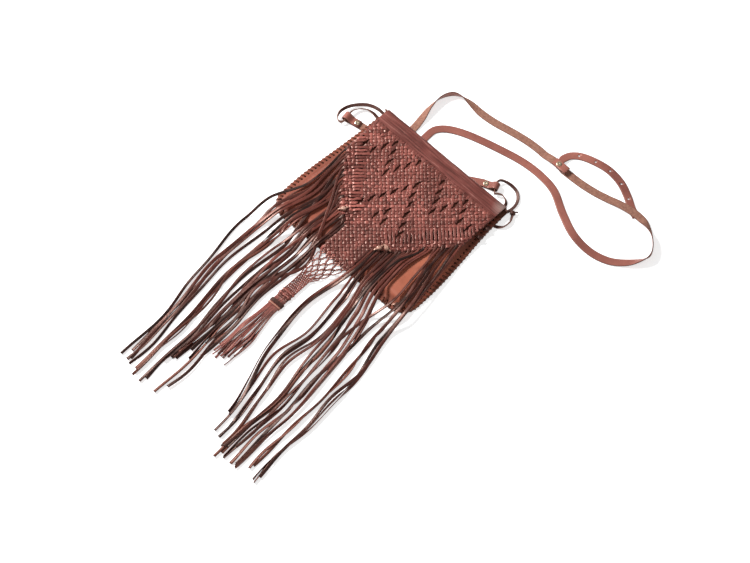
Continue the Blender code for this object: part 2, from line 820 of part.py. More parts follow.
LEFT_RIVET = along(LEFT_ROLL, LEFT_TAB_HEADING, -LEFT_RIVET_BACK)
RIGHT_RIVET = along(RIGHT_ROLL, RIGHT_TAB_HEADING, -RIGHT_RIVET_BACK)


def tab_upper_stops(rivet_back):
    """Heights of the upper layer above the lower one, from the roll back to the tab's end."""
    stops = []
    for k in range(5):
        share = k / 4
        stops.append((PINCH_BACK * share, mix(TAB_ROLL_HEIGHT, STRAP_STEP, ease(share))))
    stops.append((rivet_back + TAB_END_BACK, STRAP_STEP))
    return stops


def beside_corner(side, points):
    """Points given by their distance out from the pouch's left (-1) or right (1) upper corner."""
    return tuple((side * (POUCH_TOP_HALF / MM + out), y, lift, tilt) for out, y, lift, tilt in points)


# Adjuster: the long strap's end is folded back and riveted over the short strap,
# which folds over itself there and runs on as the tail with the holes.

ADJUST_X, ADJUST_Y = 0.1200, 0.2215
ADJUST_FOLD_X = 0.1345
ADJUST_TAIL_X = 0.1165
ADJUST_PATCH_END_X = 0.1115
ADJUST_LIFT = 2 * STRAP_STEP + RIVET_WASHER + GAP
ADJUST_RAMP = ((0.094, 0.12), (0.100, 0.55), (0.106, 0.92), (0.110, 1.0), (ADJUST_FOLD_X, 1.0))

# The long strap, from under the bag round its first bend to the adjuster
LONG_STRAP_ROUTE = (
    *beside_corner(-1, (
        (11.3, 71.8, 0.9, 180),
        (4.5, 73.2, 0, 180),
        (-4.5, 75, 0, 180),
    )),
    (-103, 79, 0, 180),
    (-88, 89, 0, 180),
    (-78, 103, 0, 180),
    (-73, 120, 0, 180),
    (-75, 140, 0, 165),
    (-79, 162, 0, 130),
    (-79, 184, 0, 105),
    (-71, 201, 0, 95),
    (-57, 208, 0, 115),
    (-40, 209, 0, 150),
    (-20, 208.5, 0, 175),
    (5, 211, 0, 180),
    (35, 217, 0, 180),
    (62, 221, 0, 180),
    (84, 222, 0, 180),
)

# The short strap, from the fold at the adjuster round its far bend to the right tab
SHORT_STRAP_ROUTE = (
    (129, 221.5, 0, 180),
    (146, 222, 0, 180),
    (164, 223, 0, 180),
    (186, 226, 0, 180),
    (206, 230.5, 0.3, 180),
    (226, 235.5, 1.9, 180),
    (246, 239, 1.9, 180),
    (264, 239, 1.9, 176),
    (281, 234.5, 0.9, 130),
    (296, 226.5, 0, 100),
    (308, 214.5, 0, 90),
    (313.5, 202, 0, 80),
    (309.5, 189, 0, 50),
    (296, 172, 0, 12),
    (275, 157, 0, 0),
    (246, 150, 0, 0),
    (211, 154, 0, 0),
    (176, 169, 0, 0),
    (143, 187, 0, 0),
    (112, 192.5, 0, 0),
    (77, 191, 0, 0),
    (35, 182, 0, 0),
    (-7, 170, 0, 0),
    (-34, 157.5, 0, 0),
    (-48.5, 143, 0, 0),
    (-50.5, 127, 0, 0),
    (-48.5, 112, 0, 0),
    (-41, 99.5, 0, 0),
    (-26, 92.5, 0, 0),
    (-3, 91.5, 0, 0),
    (17, 97.5, 0, 0),
    *beside_corner(1, (
        (-85.5, 110.5, 0, 0),
        (-71.5, 119.5, 0, 0),
    )),
)
TAIL_ROUTE = (
    (256, 237.2, 0, 0),
    (242, 242.8, 0, 0),
    (225, 253, 0, 0),
    (203, 263, 0, 0),
    (178, 267, 0, 0),
    (155, 264, 0, 0),
    (133, 256.5, 0, 0),
    (120.5, 246, 0.4, 0),
    (116.5, 234, 1.9, 0),
)
TAIL_HOLES = ((228, 251.3), (204, 262.6), (178, 267.0), (153, 263.6), (129, 254.4))

# The side loops, from under one corner of the back through the strap end and back
LEFT_LOOP_ROUTE = beside_corner(-1, (
    (-16.5, 105.5, 0, 0),
    (-5.5, 108.4, 0, 0),
    (3.5, 110, 0, 0),
    (10.5, 110, 0, -30),
    (19.5, 108, 0, -60),
    (28.5, 103, 0.6, -65),
    (37.5, 93, 1.6, -66),
    (44, 81, 2.6, -68),
    (46, 68, 3.3, -74),
    (42.5, 58, 3.6, -82),
    (36.5, 54.2, 3.6, -88),
    (32.1, 56.2, 3.6, -90),
    (31.2, 61, 3.6, -90),
    (32.5, 67.5, 3.6, -90),
    (33.9, 74.5, 3.6, -90),
    (33.3, 83, 2.6, -78),
    (28.5, 92, 1.2, -64),
    (21, 98.2, 0.4, -50),
    (11.5, 100, 0, -25),
    (3.5, 99.2, 0, 0),
    (-5.5, 98, 0, 0),
    (-14.5, 96.5, 0, 0),
))
RIGHT_LOOP_ROUTE = beside_corner(1, (
    (-23.5, 98, 0, 0),
    (-16.5, 106, 0, 0),
    (-12.5, 112, 0, 0),
    (-11, 118, 0, 8),
    (-12, 123.5, 0.3, 40),
    (-17, 127.8, 1.2, 62),
    (-24.5, 129, 2.4, 76),
    (-30.5, 125.6, 3.4, 88),
    (-33.7, 122.6, 3.6, 90),
    (-36.3, 125.8, 3.6, 90),
    (-40.5, 132, 3.6, 90),
    (-44.1, 138.4, 3.6, 90),
    (-42.5, 145, 3.0, 82),
    (-34.5, 149, 2.0, 72),
    (-23.5, 150.5, 1.0, 66),
    (-13, 148, 0.4, 62),
    (-5, 141, 0, 58),
    (-1, 132, 0, 50),
    (-0.5, 123, 0, 30),
    (-2, 116.5, 0, 0),
    (-5.5, 109, 0, 0),
    (-11.5, 100, 0, 0),
))
RIGHT_TIE_ROUTE = beside_corner(1, (
    (-14.5, 84, 0, 0),
    (-4.5, 85, 0, 0),
    (4, 87.5, 0, 0),
    (9.5, 91.5, 0, -35),
    (12, 97, 0, -55),
    (12.5, 106, 0, -60),
    (8.5, 113.5, 0, -50),
))
BEND_STEPS = 2


def make_long_strap():
    heading = LEFT_TAB_HEADING
    back = (-heading[0], -heading[1])
    across = left_of(heading)
    low = TAB_LOW_Z
    up, down = Vector((0, 0, 1)), Vector((0, 0, -1))
    stops = reversed(tab_upper_stops(LEFT_RIVET_BACK))
    sections = layer(LEFT_ROLL, back, stops, across, up, low)
    sections += roll(LEFT_ROLL, heading, low + TAB_ROLL_HEIGHT, low, across)
    flat = ((0.0, 0.0), (LEFT_RIVET_BACK, 0.0))
    sections += layer(LEFT_ROLL, back, flat, across, down, low)
    sections += lay_strip(LONG_STRAP_ROUTE, BEND_STEPS, STRAP_WIDTH, STRAP_THICK)
    across = Vector((0, -1, 0))
    base = ADJUST_LIFT + STRAP_THICK / 2
    for x, share in ADJUST_RAMP:
        sections.append((Vector((x, ADJUST_Y, mix(STRAP_THICK / 2, base, share))), across, down))
    fold = (ADJUST_FOLD_X, ADJUST_Y)
    sections += roll(fold, (1, 0), base, base + STRAP_STEP, across, 5)
    for x in (ADJUST_FOLD_X, ADJUST_PATCH_END_X):
        sections.append((Vector((x, ADJUST_Y, base + STRAP_STEP)), across, up))
    thing = make_strip("strap_long", sections, STRAP_WIDTH, STRAP_THICK, STRAP_COLOUR, 0.6)
    drill(thing, "long_tab_hole", *LEFT_RIVET, 0.0, RIVET_HOLE, 0.03)
    drill(thing, "adjuster_hole", ADJUST_X, ADJUST_Y, 0.0, RIVET_HOLE, 0.03)


def make_short_strap():
    sections = lay_strip(TAIL_ROUTE, BEND_STEPS, STRAP_WIDTH, STRAP_THICK)
    crease = Vector((1, -1, 0))
    high = STRAP_STEP + STRAP_THICK / 2
    low = STRAP_THICK / 2
    fold = (ADJUST_TAIL_X, ADJUST_Y)
    up = Vector((0, 0, 1))
    sections.append((Vector((*fold, high)), crease, up))
    out = unit(-1, -1)
    sections += roll(fold, out, high, low, crease, 5)
    sections.append((Vector((*fold, low)), crease, -up))
    sections += lay_strip(SHORT_STRAP_ROUTE, BEND_STEPS, STRAP_WIDTH, STRAP_THICK)
    heading = RIGHT_TAB_HEADING
    across = left_of(heading)
    back = (-heading[0], -heading[1])
    stops = reversed(tab_upper_stops(RIGHT_RIVET_BACK))
    sections += layer(RIGHT_ROLL, back, stops, across, up, TAB_LOW_Z)
    sections += roll(RIGHT_ROLL, heading, TAB_LOW_Z + TAB_ROLL_HEIGHT, TAB_LOW_Z, across)
    flat = ((0.0, 0.0), (RIGHT_RIVET_BACK + TAB_END_BACK, 0.0))
    sections += layer(RIGHT_ROLL, back, flat, across, -up, TAB_LOW_Z)
    thing = make_strip("strap_short", sections, STRAP_WIDTH, STRAP_THICK, STRAP_COLOUR, 0.6)
    drill(thing, "short_tab_hole", *RIGHT_RIVET, 0.0, RIVET_HOLE, 0.03)
    for k, (x, y) in enumerate(TAIL_HOLES, 1):
        drill(thing, f"tail_hole_{k}", x * MM, y * MM, 0.0, STRAP_HOLE, 0.01)


def make_loops():
    colour = (0.12, 0.05, 0.04)
    for name, route in (
        ("loop_left", LEFT_LOOP_ROUTE),
        ("loop_right", RIGHT_LOOP_ROUTE),
        ("loop_tie", RIGHT_TIE_ROUTE),
    ):
        sections = lay_strip(route, BEND_STEPS, LOOP_WIDTH, LOOP_THICK)
        make_strip(name, sections, LOOP_WIDTH, LOOP_THICK, colour, 0.5)


# Knots on the flap, by their distance from the middle along the V, and knots on the pouch's
# right edge, by their height on it, each with its turn in radians

FLAP_KNOTS = (
    ("knot_left", -0.0464, 0.6),
    ("knot_right_upper", 0.0425, -0.5),
    ("knot_right_lower", 0.0348, 0.9),
)
FLAP_KNOT_RADIUS = 0.0042
CORNER_KNOT_RADIUS = 0.0046
CORNER_KNOT_IN, CORNER_KNOT_UP = 0.0200, 0.0095
TIE_KNOT_OUT, TIE_KNOT_UP = 0.0060, 0.0075
EDGE_KNOT_RADIUS = 0.0032
EDGE_KNOTS = (("knot_edge_upper", 0.0725, 1.1), ("knot_edge_lower", 0.0545, 0.3))


def make_flap_knots(colour):
    pads = FLAP_UNDER + PLAIT_HIGH + GAP
    knots = []
    for name, along_vee, turn in FLAP_KNOTS:
        x, y, z = lattice_place(*vee_pad(along_vee))
        knots.append(make_knot(name, x, y, pads, FLAP_KNOT_RADIUS, 0.55, turn, colour, 0.25))
    return knots


def make_pouch_knots(tan, dark):
    rim = RIM_Z + LEATHER + STITCH_HEIGHT + GAP
    x, y = POUCH_LOW_HALF - CORNER_KNOT_IN, POUCH_BOTTOM + CORNER_KNOT_UP
    make_knot("knot_corner", x, y, rim, CORNER_KNOT_RADIUS, 0.6, 0.4, tan, 0.4)
    for name, y, turn in EDGE_KNOTS:
        x = side_half(y) - STITCH_REACH / 2
        make_knot(name, x, y, rim + back_z(y), EDGE_KNOT_RADIUS, 0.65, turn, dark, 0.5)
    x, y = POUCH_TOP_HALF + TIE_KNOT_OUT, FOLD_Y + TIE_KNOT_UP
    make_knot("knot_tie", x, y, 0.0, FLAP_KNOT_RADIUS, 0.8, 0.5, dark, 0.5)


def make_bag():
    clear_scene()
    make_back_panel()
    make_front_panel()
    tan, dark, brown = (0.55, 0.36, 0.24), (0.07, 0.03, 0.025), (0.30, 0.12, 0.08)
    ring_start = BINDING_START_Y - BINDING_LENGTH - GAP
    swinging = [
        make_flap(),
        make_band_round_tail("tail_binding", BINDING_START_Y, BINDING_LENGTH, BINDING_WALL, dark),
        make_band_round_tail("tail_ring", ring_start, TAIL_RING_LENGTH, TAIL_RING_WALL, brown),
    ]
    hang_on_fold(swinging + make_flap_knots(tan))
    make_long_strap()
    make_short_strap()
    make_loops()
    make_pouch_knots(tan, dark)
    make_rivet("rivet_left", *LEFT_RIVET, 0.0, 2)
    make_rivet("rivet_right", *RIGHT_RIVET, 0.0, 2)
    make_rivet("rivet_adjuster", ADJUST_X, ADJUST_Y, 2 * STRAP_STEP, 2)


make_bag()
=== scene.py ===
import math
import random

import bmesh
import bpy
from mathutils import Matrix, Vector, noise
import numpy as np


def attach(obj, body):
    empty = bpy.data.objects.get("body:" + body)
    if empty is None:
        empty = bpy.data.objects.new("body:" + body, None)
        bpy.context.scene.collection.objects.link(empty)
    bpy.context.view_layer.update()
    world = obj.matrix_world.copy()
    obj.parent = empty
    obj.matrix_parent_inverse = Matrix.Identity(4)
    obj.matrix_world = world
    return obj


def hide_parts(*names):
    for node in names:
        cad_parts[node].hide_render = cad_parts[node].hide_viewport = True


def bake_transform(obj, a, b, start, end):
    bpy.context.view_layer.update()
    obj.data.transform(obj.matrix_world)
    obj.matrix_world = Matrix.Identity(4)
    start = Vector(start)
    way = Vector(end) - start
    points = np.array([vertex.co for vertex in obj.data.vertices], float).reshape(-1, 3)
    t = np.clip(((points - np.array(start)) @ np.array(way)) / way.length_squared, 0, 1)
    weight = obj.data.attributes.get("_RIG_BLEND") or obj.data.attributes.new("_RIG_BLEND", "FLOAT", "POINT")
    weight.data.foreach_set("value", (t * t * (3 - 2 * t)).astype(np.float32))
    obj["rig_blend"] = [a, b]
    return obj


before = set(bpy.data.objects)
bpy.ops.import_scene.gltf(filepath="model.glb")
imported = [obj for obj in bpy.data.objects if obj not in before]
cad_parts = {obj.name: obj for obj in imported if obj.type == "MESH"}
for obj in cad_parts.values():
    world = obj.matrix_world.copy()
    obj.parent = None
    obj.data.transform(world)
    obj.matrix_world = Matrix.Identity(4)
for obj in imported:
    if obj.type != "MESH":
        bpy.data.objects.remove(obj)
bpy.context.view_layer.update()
scene = bpy.context.scene
scene.view_settings.view_transform = "Standard"


# White table
# The bag lies flat on its back on a plain white surface, which only shows its soft shadow.
# The surface is seen as white and still takes the shadow from the lamps.

def mesh_object(name, bm):
    mesh = bpy.data.meshes.new(name)
    bm.to_mesh(mesh)
    bm.free()
    made = bpy.data.objects.new(name, mesh)
    scene.collection.objects.link(made)
    return made


def table_finish():
    paper = bpy.data.materials.new("white_table")
    paper.use_nodes = True
    nodes, links = paper.node_tree.nodes, paper.node_tree.links
    shader = nodes["Principled BSDF"]
    shader.inputs["Base Color"].default_value = (0.93, 0.93, 0.93, 1.0)
    shader.inputs["Roughness"].default_value = 0.85
    shader.inputs["Specular IOR Level"].default_value = 0.1
    lit = nodes.new("ShaderNodeEmission")
    lit.inputs["Color"].default_value = (1.0, 1.0, 1.0, 1.0)
    lit.inputs["Strength"].default_value = 0.58
    both = nodes.new("ShaderNodeAddShader")
    seen = nodes.new("ShaderNodeLightPath")
    choose = nodes.new("ShaderNodeMixShader")
    links.new(shader.outputs["BSDF"], both.inputs[0])
    links.new(lit.outputs["Emission"], both.inputs[1])
    white_to = seen.outputs["Is Camera Ray"]
    for ray in ("Is Glossy Ray", "Is Transmission Ray"):
        either = nodes.new("ShaderNodeMath")
        either.operation = "MAXIMUM"
        links.new(white_to, either.inputs[0])
        links.new(seen.outputs[ray], either.inputs[1])
        white_to = either.outputs["Value"]
    links.new(white_to, choose.inputs["Fac"])
    links.new(shader.outputs["BSDF"], choose.inputs[1])
    links.new(both.outputs["Shader"], choose.inputs[2])
    links.new(choose.outputs["Shader"], nodes["Material Output"].inputs["Surface"])
    return paper


table_top = bmesh.new()
bmesh.ops.create_circle(table_top, cap_ends=True, segments=64, radius=6.0)
table = mesh_object("white_table", table_top)
table.location = (0.0, 0.0, -0.0004)
table.data.materials.append(table_finish())


# Camera and light
# The photograph looks down on the bag from its lower left corner, through a long lens.
# Soft light comes from the photograph's upper left, so that shadows fall to its right.

turn, height = math.radians(44.2), math.radians(61.2)
aim, distance, seen_width = Vector((0.062, -0.096, 0.0)), 6.0, 1.057
away = Vector((math.sin(turn) * math.cos(height), -math.cos(turn) * math.cos(height), math.sin(height)))
camera = bpy.data.objects.new("camera", bpy.data.cameras.new("camera"))
camera.location = aim + away * distance
camera.rotation_euler = (math.pi / 2 - height, 0.0, turn)
camera.data.sensor_width = 36.0
camera.data.lens = camera.data.sensor_width * distance / seen_width
camera.data.clip_end = 40.0
scene.collection.objects.link(camera)
scene.camera = camera

right = Vector((math.cos(turn), math.sin(turn), 0.0))
ahead = Vector((-math.sin(turn), math.cos(turn), 0.0))


def soft_lamp(name, place, size, power):
    lamp = bpy.data.lights.new(name, "AREA")
    lamp.shape = "DISK"
    lamp.size = size
    lamp.energy = power
    holder = bpy.data.objects.new(name, lamp)
    holder.location = place
    holder.rotation_euler = (Vector((0.0, -0.05, 0.0)) - place).to_track_quat("-Z", "Y").to_euler()
    scene.collection.objects.link(holder)


soft_lamp("window_light", right * -1.3 + ahead * 0.9 + Vector((0, 0, 1.5)), 0.6, 70.0)
soft_lamp("room_light", right * 0.6 + ahead * -1.2 + Vector((0, 0, 2.0)), 2.2, 8.0)
world = bpy.data.worlds.new("room")
scene.world = world
world.use_nodes = True
world.node_tree.nodes["Background"].inputs["Color"].default_value = (1.0, 1.0, 1.0, 1.0)
world.node_tree.nodes["Background"].inputs["Strength"].default_value = 0.22


# Pouch back
# The pouch's back is one sheet of leather with its sueded side out, cut with round lower
# corners. Its top edge turns up as the lip that the flap folds over, and it lies on the strap.

class Leather:
    """One leather finish, built up from grain, creases, colour drift and worn edges."""

    def __init__(self, name, roughness, specular=0.5):
        self.material = bpy.data.materials.new(name)
        self.material.use_nodes = True
        self.nodes, self.links = self.material.node_tree.nodes, self.material.node_tree.links
        self.shader = self.nodes["Principled BSDF"]
        self.shader.inputs["Specular IOR Level"].default_value = specular
        self.shader.inputs["Specular Tint"].default_value = (1.0, 0.66, 0.55, 1.0)
        self.shader.inputs["Roughness"].default_value = roughness
        self.coords = self.nodes.new("ShaderNodeTexCoord").outputs["Object"]
        self.colour = None
        self.bump = None

    def node(self, kind, **sockets):
        made = self.nodes.new("ShaderNode" + kind)
        for socket, value in sockets.items():
            made.inputs[socket].default_value = value
        return made

    def speckle(self, scale, detail=3.0, stretch=(1, 1, 1), distortion=0.0):
        """Soft clouds, such as drifts of colour, grain and creases."""
        place = self.node("Mapping", Scale=stretch)
        self.links.new(self.coords, place.inputs["Vector"])
        cloud = self.node("TexNoise", Scale=scale, Detail=detail, Distortion=distortion)
        self.links.new(place.outputs["Vector"], cloud.inputs["Vector"])
        return cloud.outputs["Fac"]

    def cells(self, scale):
        """The pebbled grain of the hide's outer face."""
        cell = self.node("TexVoronoi", Scale=scale)
        cell.feature = "DISTANCE_TO_EDGE"
        self.links.new(self.coords, cell.inputs["Vector"])
        return cell.outputs["Distance"]

    def between(self, value, low, high):
        """0 to 1 as a value goes from low to high."""
        level = self.nodes.new("ShaderNodeMapRange")
        level.inputs["From Min"].default_value = low
        level.inputs["From Max"].default_value = high
        self.links.new(value, level.inputs["Value"])
        return level.outputs["Result"]

    def ramp(self, value, stops):
        """Colours, or greys, placed along a value from 0 to 1."""
        ramp = self.node("ValToRGB")
        bar = ramp.color_ramp
        for spot, shade in stops[2:]:
            bar.elements.new(spot)
        for element, (spot, shade) in zip(bar.elements, sorted(stops)):
            element.position = spot
            element.color = (*shade, 1.0) if isinstance(shade, tuple) else (shade, shade, shade, 1.0)
        self.links.new(value, ramp.inputs["Fac"])
        return ramp.outputs["Color"]

    def tint(self, value, stops, shade):
        """Lay a colour over what is there, as strongly as the stops along value say."""
        mixer = self.node("Mix")
        mixer.data_type = "RGBA"
        self.links.new(self.ramp(value, stops), mixer.inputs["Factor"])
        self.links.new(self.colour, mixer.inputs["A"])
        if isinstance(shade, tuple):
            mixer.inputs["B"].default_value = (*shade, 1.0)
        else:
            self.links.new(shade, mixer.inputs["B"])
        self.colour = mixer.outputs["Result"]

    def raise_by(self, value, distance, strength=1.0):
        bump = self.node("Bump", Distance=distance, Strength=strength)
        self.links.new(value, bump.inputs["Height"])
        if self.bump:
            self.links.new(self.bump, bump.inputs["Normal"])
        self.bump = bump.outputs["Normal"]

    def painted(self, layer):
        """A value from 0 to 1 that the mesh carries, such as its cut edges."""
        read = self.node("Attribute")
        read.attribute_name = layer
        return read.outputs["Fac"]

    def done(self, rough_value=None, rough_stops=None):
        self.links.new(self.colour, self.shader.inputs["Base Color"])
        if rough_value:
            self.links.new(self.ramp(rough_value, rough_stops), self.shader.inputs["Roughness"])
        if self.bump:
            self.links.new(self.bump, self.shader.inputs["Normal"])
        return self.material


def back_leather():
    suede = Leather("pouch_back_suede", 0.9, 0.25)
    suede.colour = suede.ramp(
        suede.speckle(38.0, 5.0), [(0.3, (0.115, 0.040, 0.024)), (0.7, (0.185, 0.070, 0.042))],
    )
    suede.tint(suede.speckle(9.0, 3.0), [(0.45, 0.0), (0.75, 0.45)], (0.24, 0.105, 0.068))
    suede.raise_by(suede.speckle(900.0, 4.0), 0.0004, 0.5)
    suede.raise_by(suede.speckle(30.0, 3.0), 0.0015, 0.4)
    suede.shader.inputs["Sheen Weight"].default_value = 0.25
    suede.shader.inputs["Sheen Roughness"].default_value = 0.5
    return suede.done()


pouch_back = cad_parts["back_panel"]
pouch_back.data.materials.clear()
pouch_back.data.materials.append(back_leather())


# Pouch front
# A smooth orange-brown leather panel, stretched by what the bag has held into a shallow
# dish, with a flat rim that lies on the back panel and is whip-stitched to it.

def ease(t):
    t = min(max(t, 0.0), 1.0)
    return t * t * (3 - 2 * t)


def mix(a, b, t):
    return a + (b - a) * t


leather = 0.0016
seam_gap = 0.0003
fold_y, hinge_z, mouth_y = 0.111, 0.0065, 0.100
mouth_half, widest_half, widest_y = 0.1205, 0.134, -0.066
pouch_bottom, pouch_corner = -0.113, 0.028
corner_y = pouch_bottom + pouch_corner
rim_side, rim_arc = mouth_y - corner_y, pouch_corner * math.pi / 2
rim_length = 2 * rim_side + 2 * rim_arc + 2 * (widest_half - pouch_corner)
front_under, dish_inset = 0.0095, 0.0245


def side_half(y):
    return mix(mouth_half, widest_half, ease((fold_y - y) / (fold_y - widest_y)))


def back_z(y):
    """The height of the back's underside, which rises over the strap's riveted ends."""
    return 0.0019 * ease((y - 0.008) / 0.054)


def rim_top(y):
    """The height of the front panel's flat rim, on the back panel."""
    return back_z(y) + 2 * leather + seam_gap


def rim_point(along, inset):
    """A point on the pouch's rim, from the left end of the mouth round to the right one."""
    if along > rim_length / 2:
        x, y = rim_point(rim_length - along, inset)
        return -x, y
    if along < rim_side:
        return inset - side_half(mouth_y - along), mouth_y - along
    along -= rim_side
    if along < rim_arc:
        angle, reach = along / pouch_corner, pouch_corner - inset
        return pouch_corner - widest_half - reach * math.cos(angle), corner_y - reach * math.sin(angle)
    return pouch_corner - widest_half + along - rim_arc, pouch_bottom + inset


def skin(bm, rings, closed=False):
    """Faces between each row of points and the next."""
    size = len(rings[0])
    for a, b in zip(rings, rings[1:]):
        for k in range(size if closed else size - 1):
            m = (k + 1) % size
            bm.faces.new((a[k], a[m], b[m], b[k]))


def place_piece(name, bm, finish, body, node=None):
    """Make a smooth piece of a mesh, on its body, in the place of the CAD node that it replaces."""
    bmesh.ops.recalc_face_normals(bm, faces=bm.faces)
    piece = mesh_object(name, bm)
    piece.data.shade_smooth()
    piece.data.materials.append(finish)
    if body:
        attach(piece, body)
    if node:
        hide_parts(node)
    return piece


def front_height(x, y, share):
    """Height of the front's outer face, with the soft dents of worn leather."""
    dent = 0.0009 * (1 + noise.noise(Vector((x * 16, y * 16, 3.1)))) * share
    return mix(rim_top(y), front_under + leather, share) - dent * 0.8


def front_leather():
    hide = Leather("pouch_front_leather", 0.42, 0.5)
    hide.colour = hide.ramp(
        hide.speckle(14.0, 5.0),
        [(0.3, (0.16, 0.037, 0.023)), (0.5, (0.33, 0.082, 0.046)), (0.75, (0.46, 0.140, 0.078))],
    )
    hide.tint(hide.speckle(60.0, 4.0), [(0.5, 0.0), (0.8, 0.5)], (0.17, 0.050, 0.030))
    # Painted shade: darker where the flap lies over the front, and half as dark on the low rim.
    hide.tint(hide.painted("flap_shade_and_dark_rim"), [(0.0, 0.0), (1.0, 0.7)], (0.055, 0.017, 0.012))
    hide.raise_by(hide.cells(700.0), 0.0002, 0.35)
    hide.raise_by(hide.speckle(45.0, 4.0), 0.0012, 0.35)
    hide.shader.inputs["Coat Weight"].default_value = 0.15
    hide.shader.inputs["Coat Roughness"].default_value = 0.35
    return hide.done(hide.speckle(90.0, 3.0), [(0.3, 0.34), (0.7, 0.55)])


front = bmesh.new()
flap_shade_and_rim = front.verts.layers.float.new("flap_shade_and_dark_rim")
count = 240
rim_rows = (
    (0.0006, 0.0, -leather), (0.0, 0.0, -leather * 0.5), (0.0005, 0.0, 0.0), (0.003, 0.0, 0.0),
    (0.0055, 0.0, 0.0), (0.0085, 0.02, 0.0), (0.0115, 0.22, 0.0), (0.0145, 0.55, 0.0),
    (0.0175, 0.83, 0.0), (0.0205, 0.97, 0.0),
)
dish_rows = [(dish_inset, 1.0, 0.0, s) for s in (0.0, 0.12, 0.25, 0.4, 0.55, 0.7, 0.85, 0.96)]
rings = []
for inset, share, lift, inward in [(*row, 0.0) for row in rim_rows] + dish_rows:
    ring = []
    for k in range(count + 1):
        x, y = rim_point(rim_length * k / count, inset)
        x, y = x * (1 - inward), mix(y, mouth_y, inward)
        ring.append(front.verts.new((x, y, front_height(x, y, share) + lift)))
    rings.append(ring)
skin(front, rings)
front.faces.new(rings[-1])
# Painted shade: the front darkens where the flap lies over it, above the V of its edge, and its low rim is
# half as dark.
for vert in front.verts:
    vee_y = -0.070 + 1.1 * max(abs(vert.co.x) - 0.030, 0.0)
    raised = vert.co.z > front_under - 0.002
    vert[flap_shade_and_rim] = ease((vert.co.y - vee_y) / 0.02) if raised else 0.5
pouch_front = place_piece("pouch_front", front, front_leather(), "bag", "front_panel")
thicken = pouch_front.modifiers.new("leather_thickness", "SOLIDIFY")
thicken.thickness = 0.0012
thicken.offset = -1.0


# Whip stitches
# A thin leather thong is sewn over the two panels' edge. Each stitch comes out of a punched
# hole, slants across the rim and wraps round both edges.

def flat_section(width, thick):
    """A flat strip's section with rounded edges: across, up, how near the cut edge, which side."""
    w, t = width / 2, thick / 2
    return (
        (-w, 0.0, 1.0, 0.5), (-w * 0.93, t * 0.8, 0.8, 0.0), (-w * 0.55, t, 0.0, 0.0),
        (w * 0.55, t, 0.0, 0.0), (w * 0.93, t * 0.8, 0.8, 0.0), (w, 0.0, 1.0, 0.5),
        (w * 0.93, -t * 0.8, 0.8, 1.0), (-w * 0.93, -t * 0.8, 0.8, 1.0),
    )


def strip_ring(bm, corners, shade):
    """A ring of points round a strip, each with the values that the leather's finish reads."""
    floats = bm.verts.layers.float
    layers = [floats.get(name) or floats.new(name) for name in ("cut_edge", "flesh_side", "strand_shade")]
    ring = []
    for spot, edge, side in corners:
        vert = bm.verts.new(spot)
        for layer, value in zip(layers, (edge, side, shade)):
            vert[layer] = value
        ring.append(vert)
    return ring


def skin_strip(bm, rings):
    skin(bm, rings, True)
    bm.faces.new(rings[0][::-1])
    bm.faces.new(rings[-1])


def sweep_strip(bm, sections, shade, table_low=None, end_darker=0.0):
    """Skin a leather strip through (place, across, normal, width, thickness) sections."""
    rings = []
    for number, (place, across, normal, width, thick) in enumerate(sections):
        here = shade * (1 - end_darker * number / len(sections))
        section = flat_section(width, thick)
        corners = [(place + across * a + normal * n, edge, side) for a, n, edge, side in section]
        lift = 0.0
        if table_low is not None:
            lift = max(0.0, table_low - min(spot.z for spot, edge, side in corners))
        raised = [(spot + Vector((0, 0, lift)), edge, side) for spot, edge, side in corners]
        rings.append(strip_ring(bm, raised, here))
    skin_strip(bm, rings)


def thong_leather(name, dark, light, edge, flesh, rough=0.45, specular=0.4, shaded_heights=None, flecks=0.6):
    """Leather cut into strips: smooth outside, cut edges and a sueded flesh side, with painted
    shade where it lies low between two given heights, in the recesses of a weave."""
    strip = Leather(name, rough, specular)
    strip.colour = strip.ramp(strip.painted("strand_shade"), [(0.0, dark), (1.0, light)])
    strip.tint(strip.speckle(26.0, 4.0, (1.0, 0.5, 1.0)), [(0.40, 0.0), (0.70, 0.75)], dark)
    strip.tint(strip.speckle(75.0, 3.0, (1.0, 0.5, 1.0)), [(0.50, 0.0), (0.72, flecks)], light)
    # Painted shade: the strip darkens where it lies low in the weave, under the strips that cross it.
    if shaded_heights:
        split = strip.node("SeparateXYZ")
        strip.links.new(strip.coords, split.inputs["Vector"])
        strip.tint(strip.between(split.outputs["Z"], *shaded_heights), [(0.0, 0.96), (1.0, 0.0)], (0.022, 0.007, 0.006))
    strip.tint(strip.painted("flesh_side"), [(0.55, 0.0), (0.95, 0.9)], flesh)
    strip.tint(strip.painted("cut_edge"), [(0.55, 0.0), (1.0, 0.85)], edge)
    strip.tint(strip.cells(520.0), [(0.02, 0.35), (0.14, 0.0)], dark)
    strip.raise_by(strip.cells(900.0), 0.00018, 0.4)
    strip.raise_by(strip.speckle(380.0, 4.0), 0.00030, 0.5)
    strip.raise_by(strip.speckle(120.0, 3.0, (1.0, 0.2, 1.0)), 0.0005, 0.35)
    return strip.done(strip.speckle(70.0, 3.0), [(0.3, rough - 0.1), (0.7, rough + 0.12)])


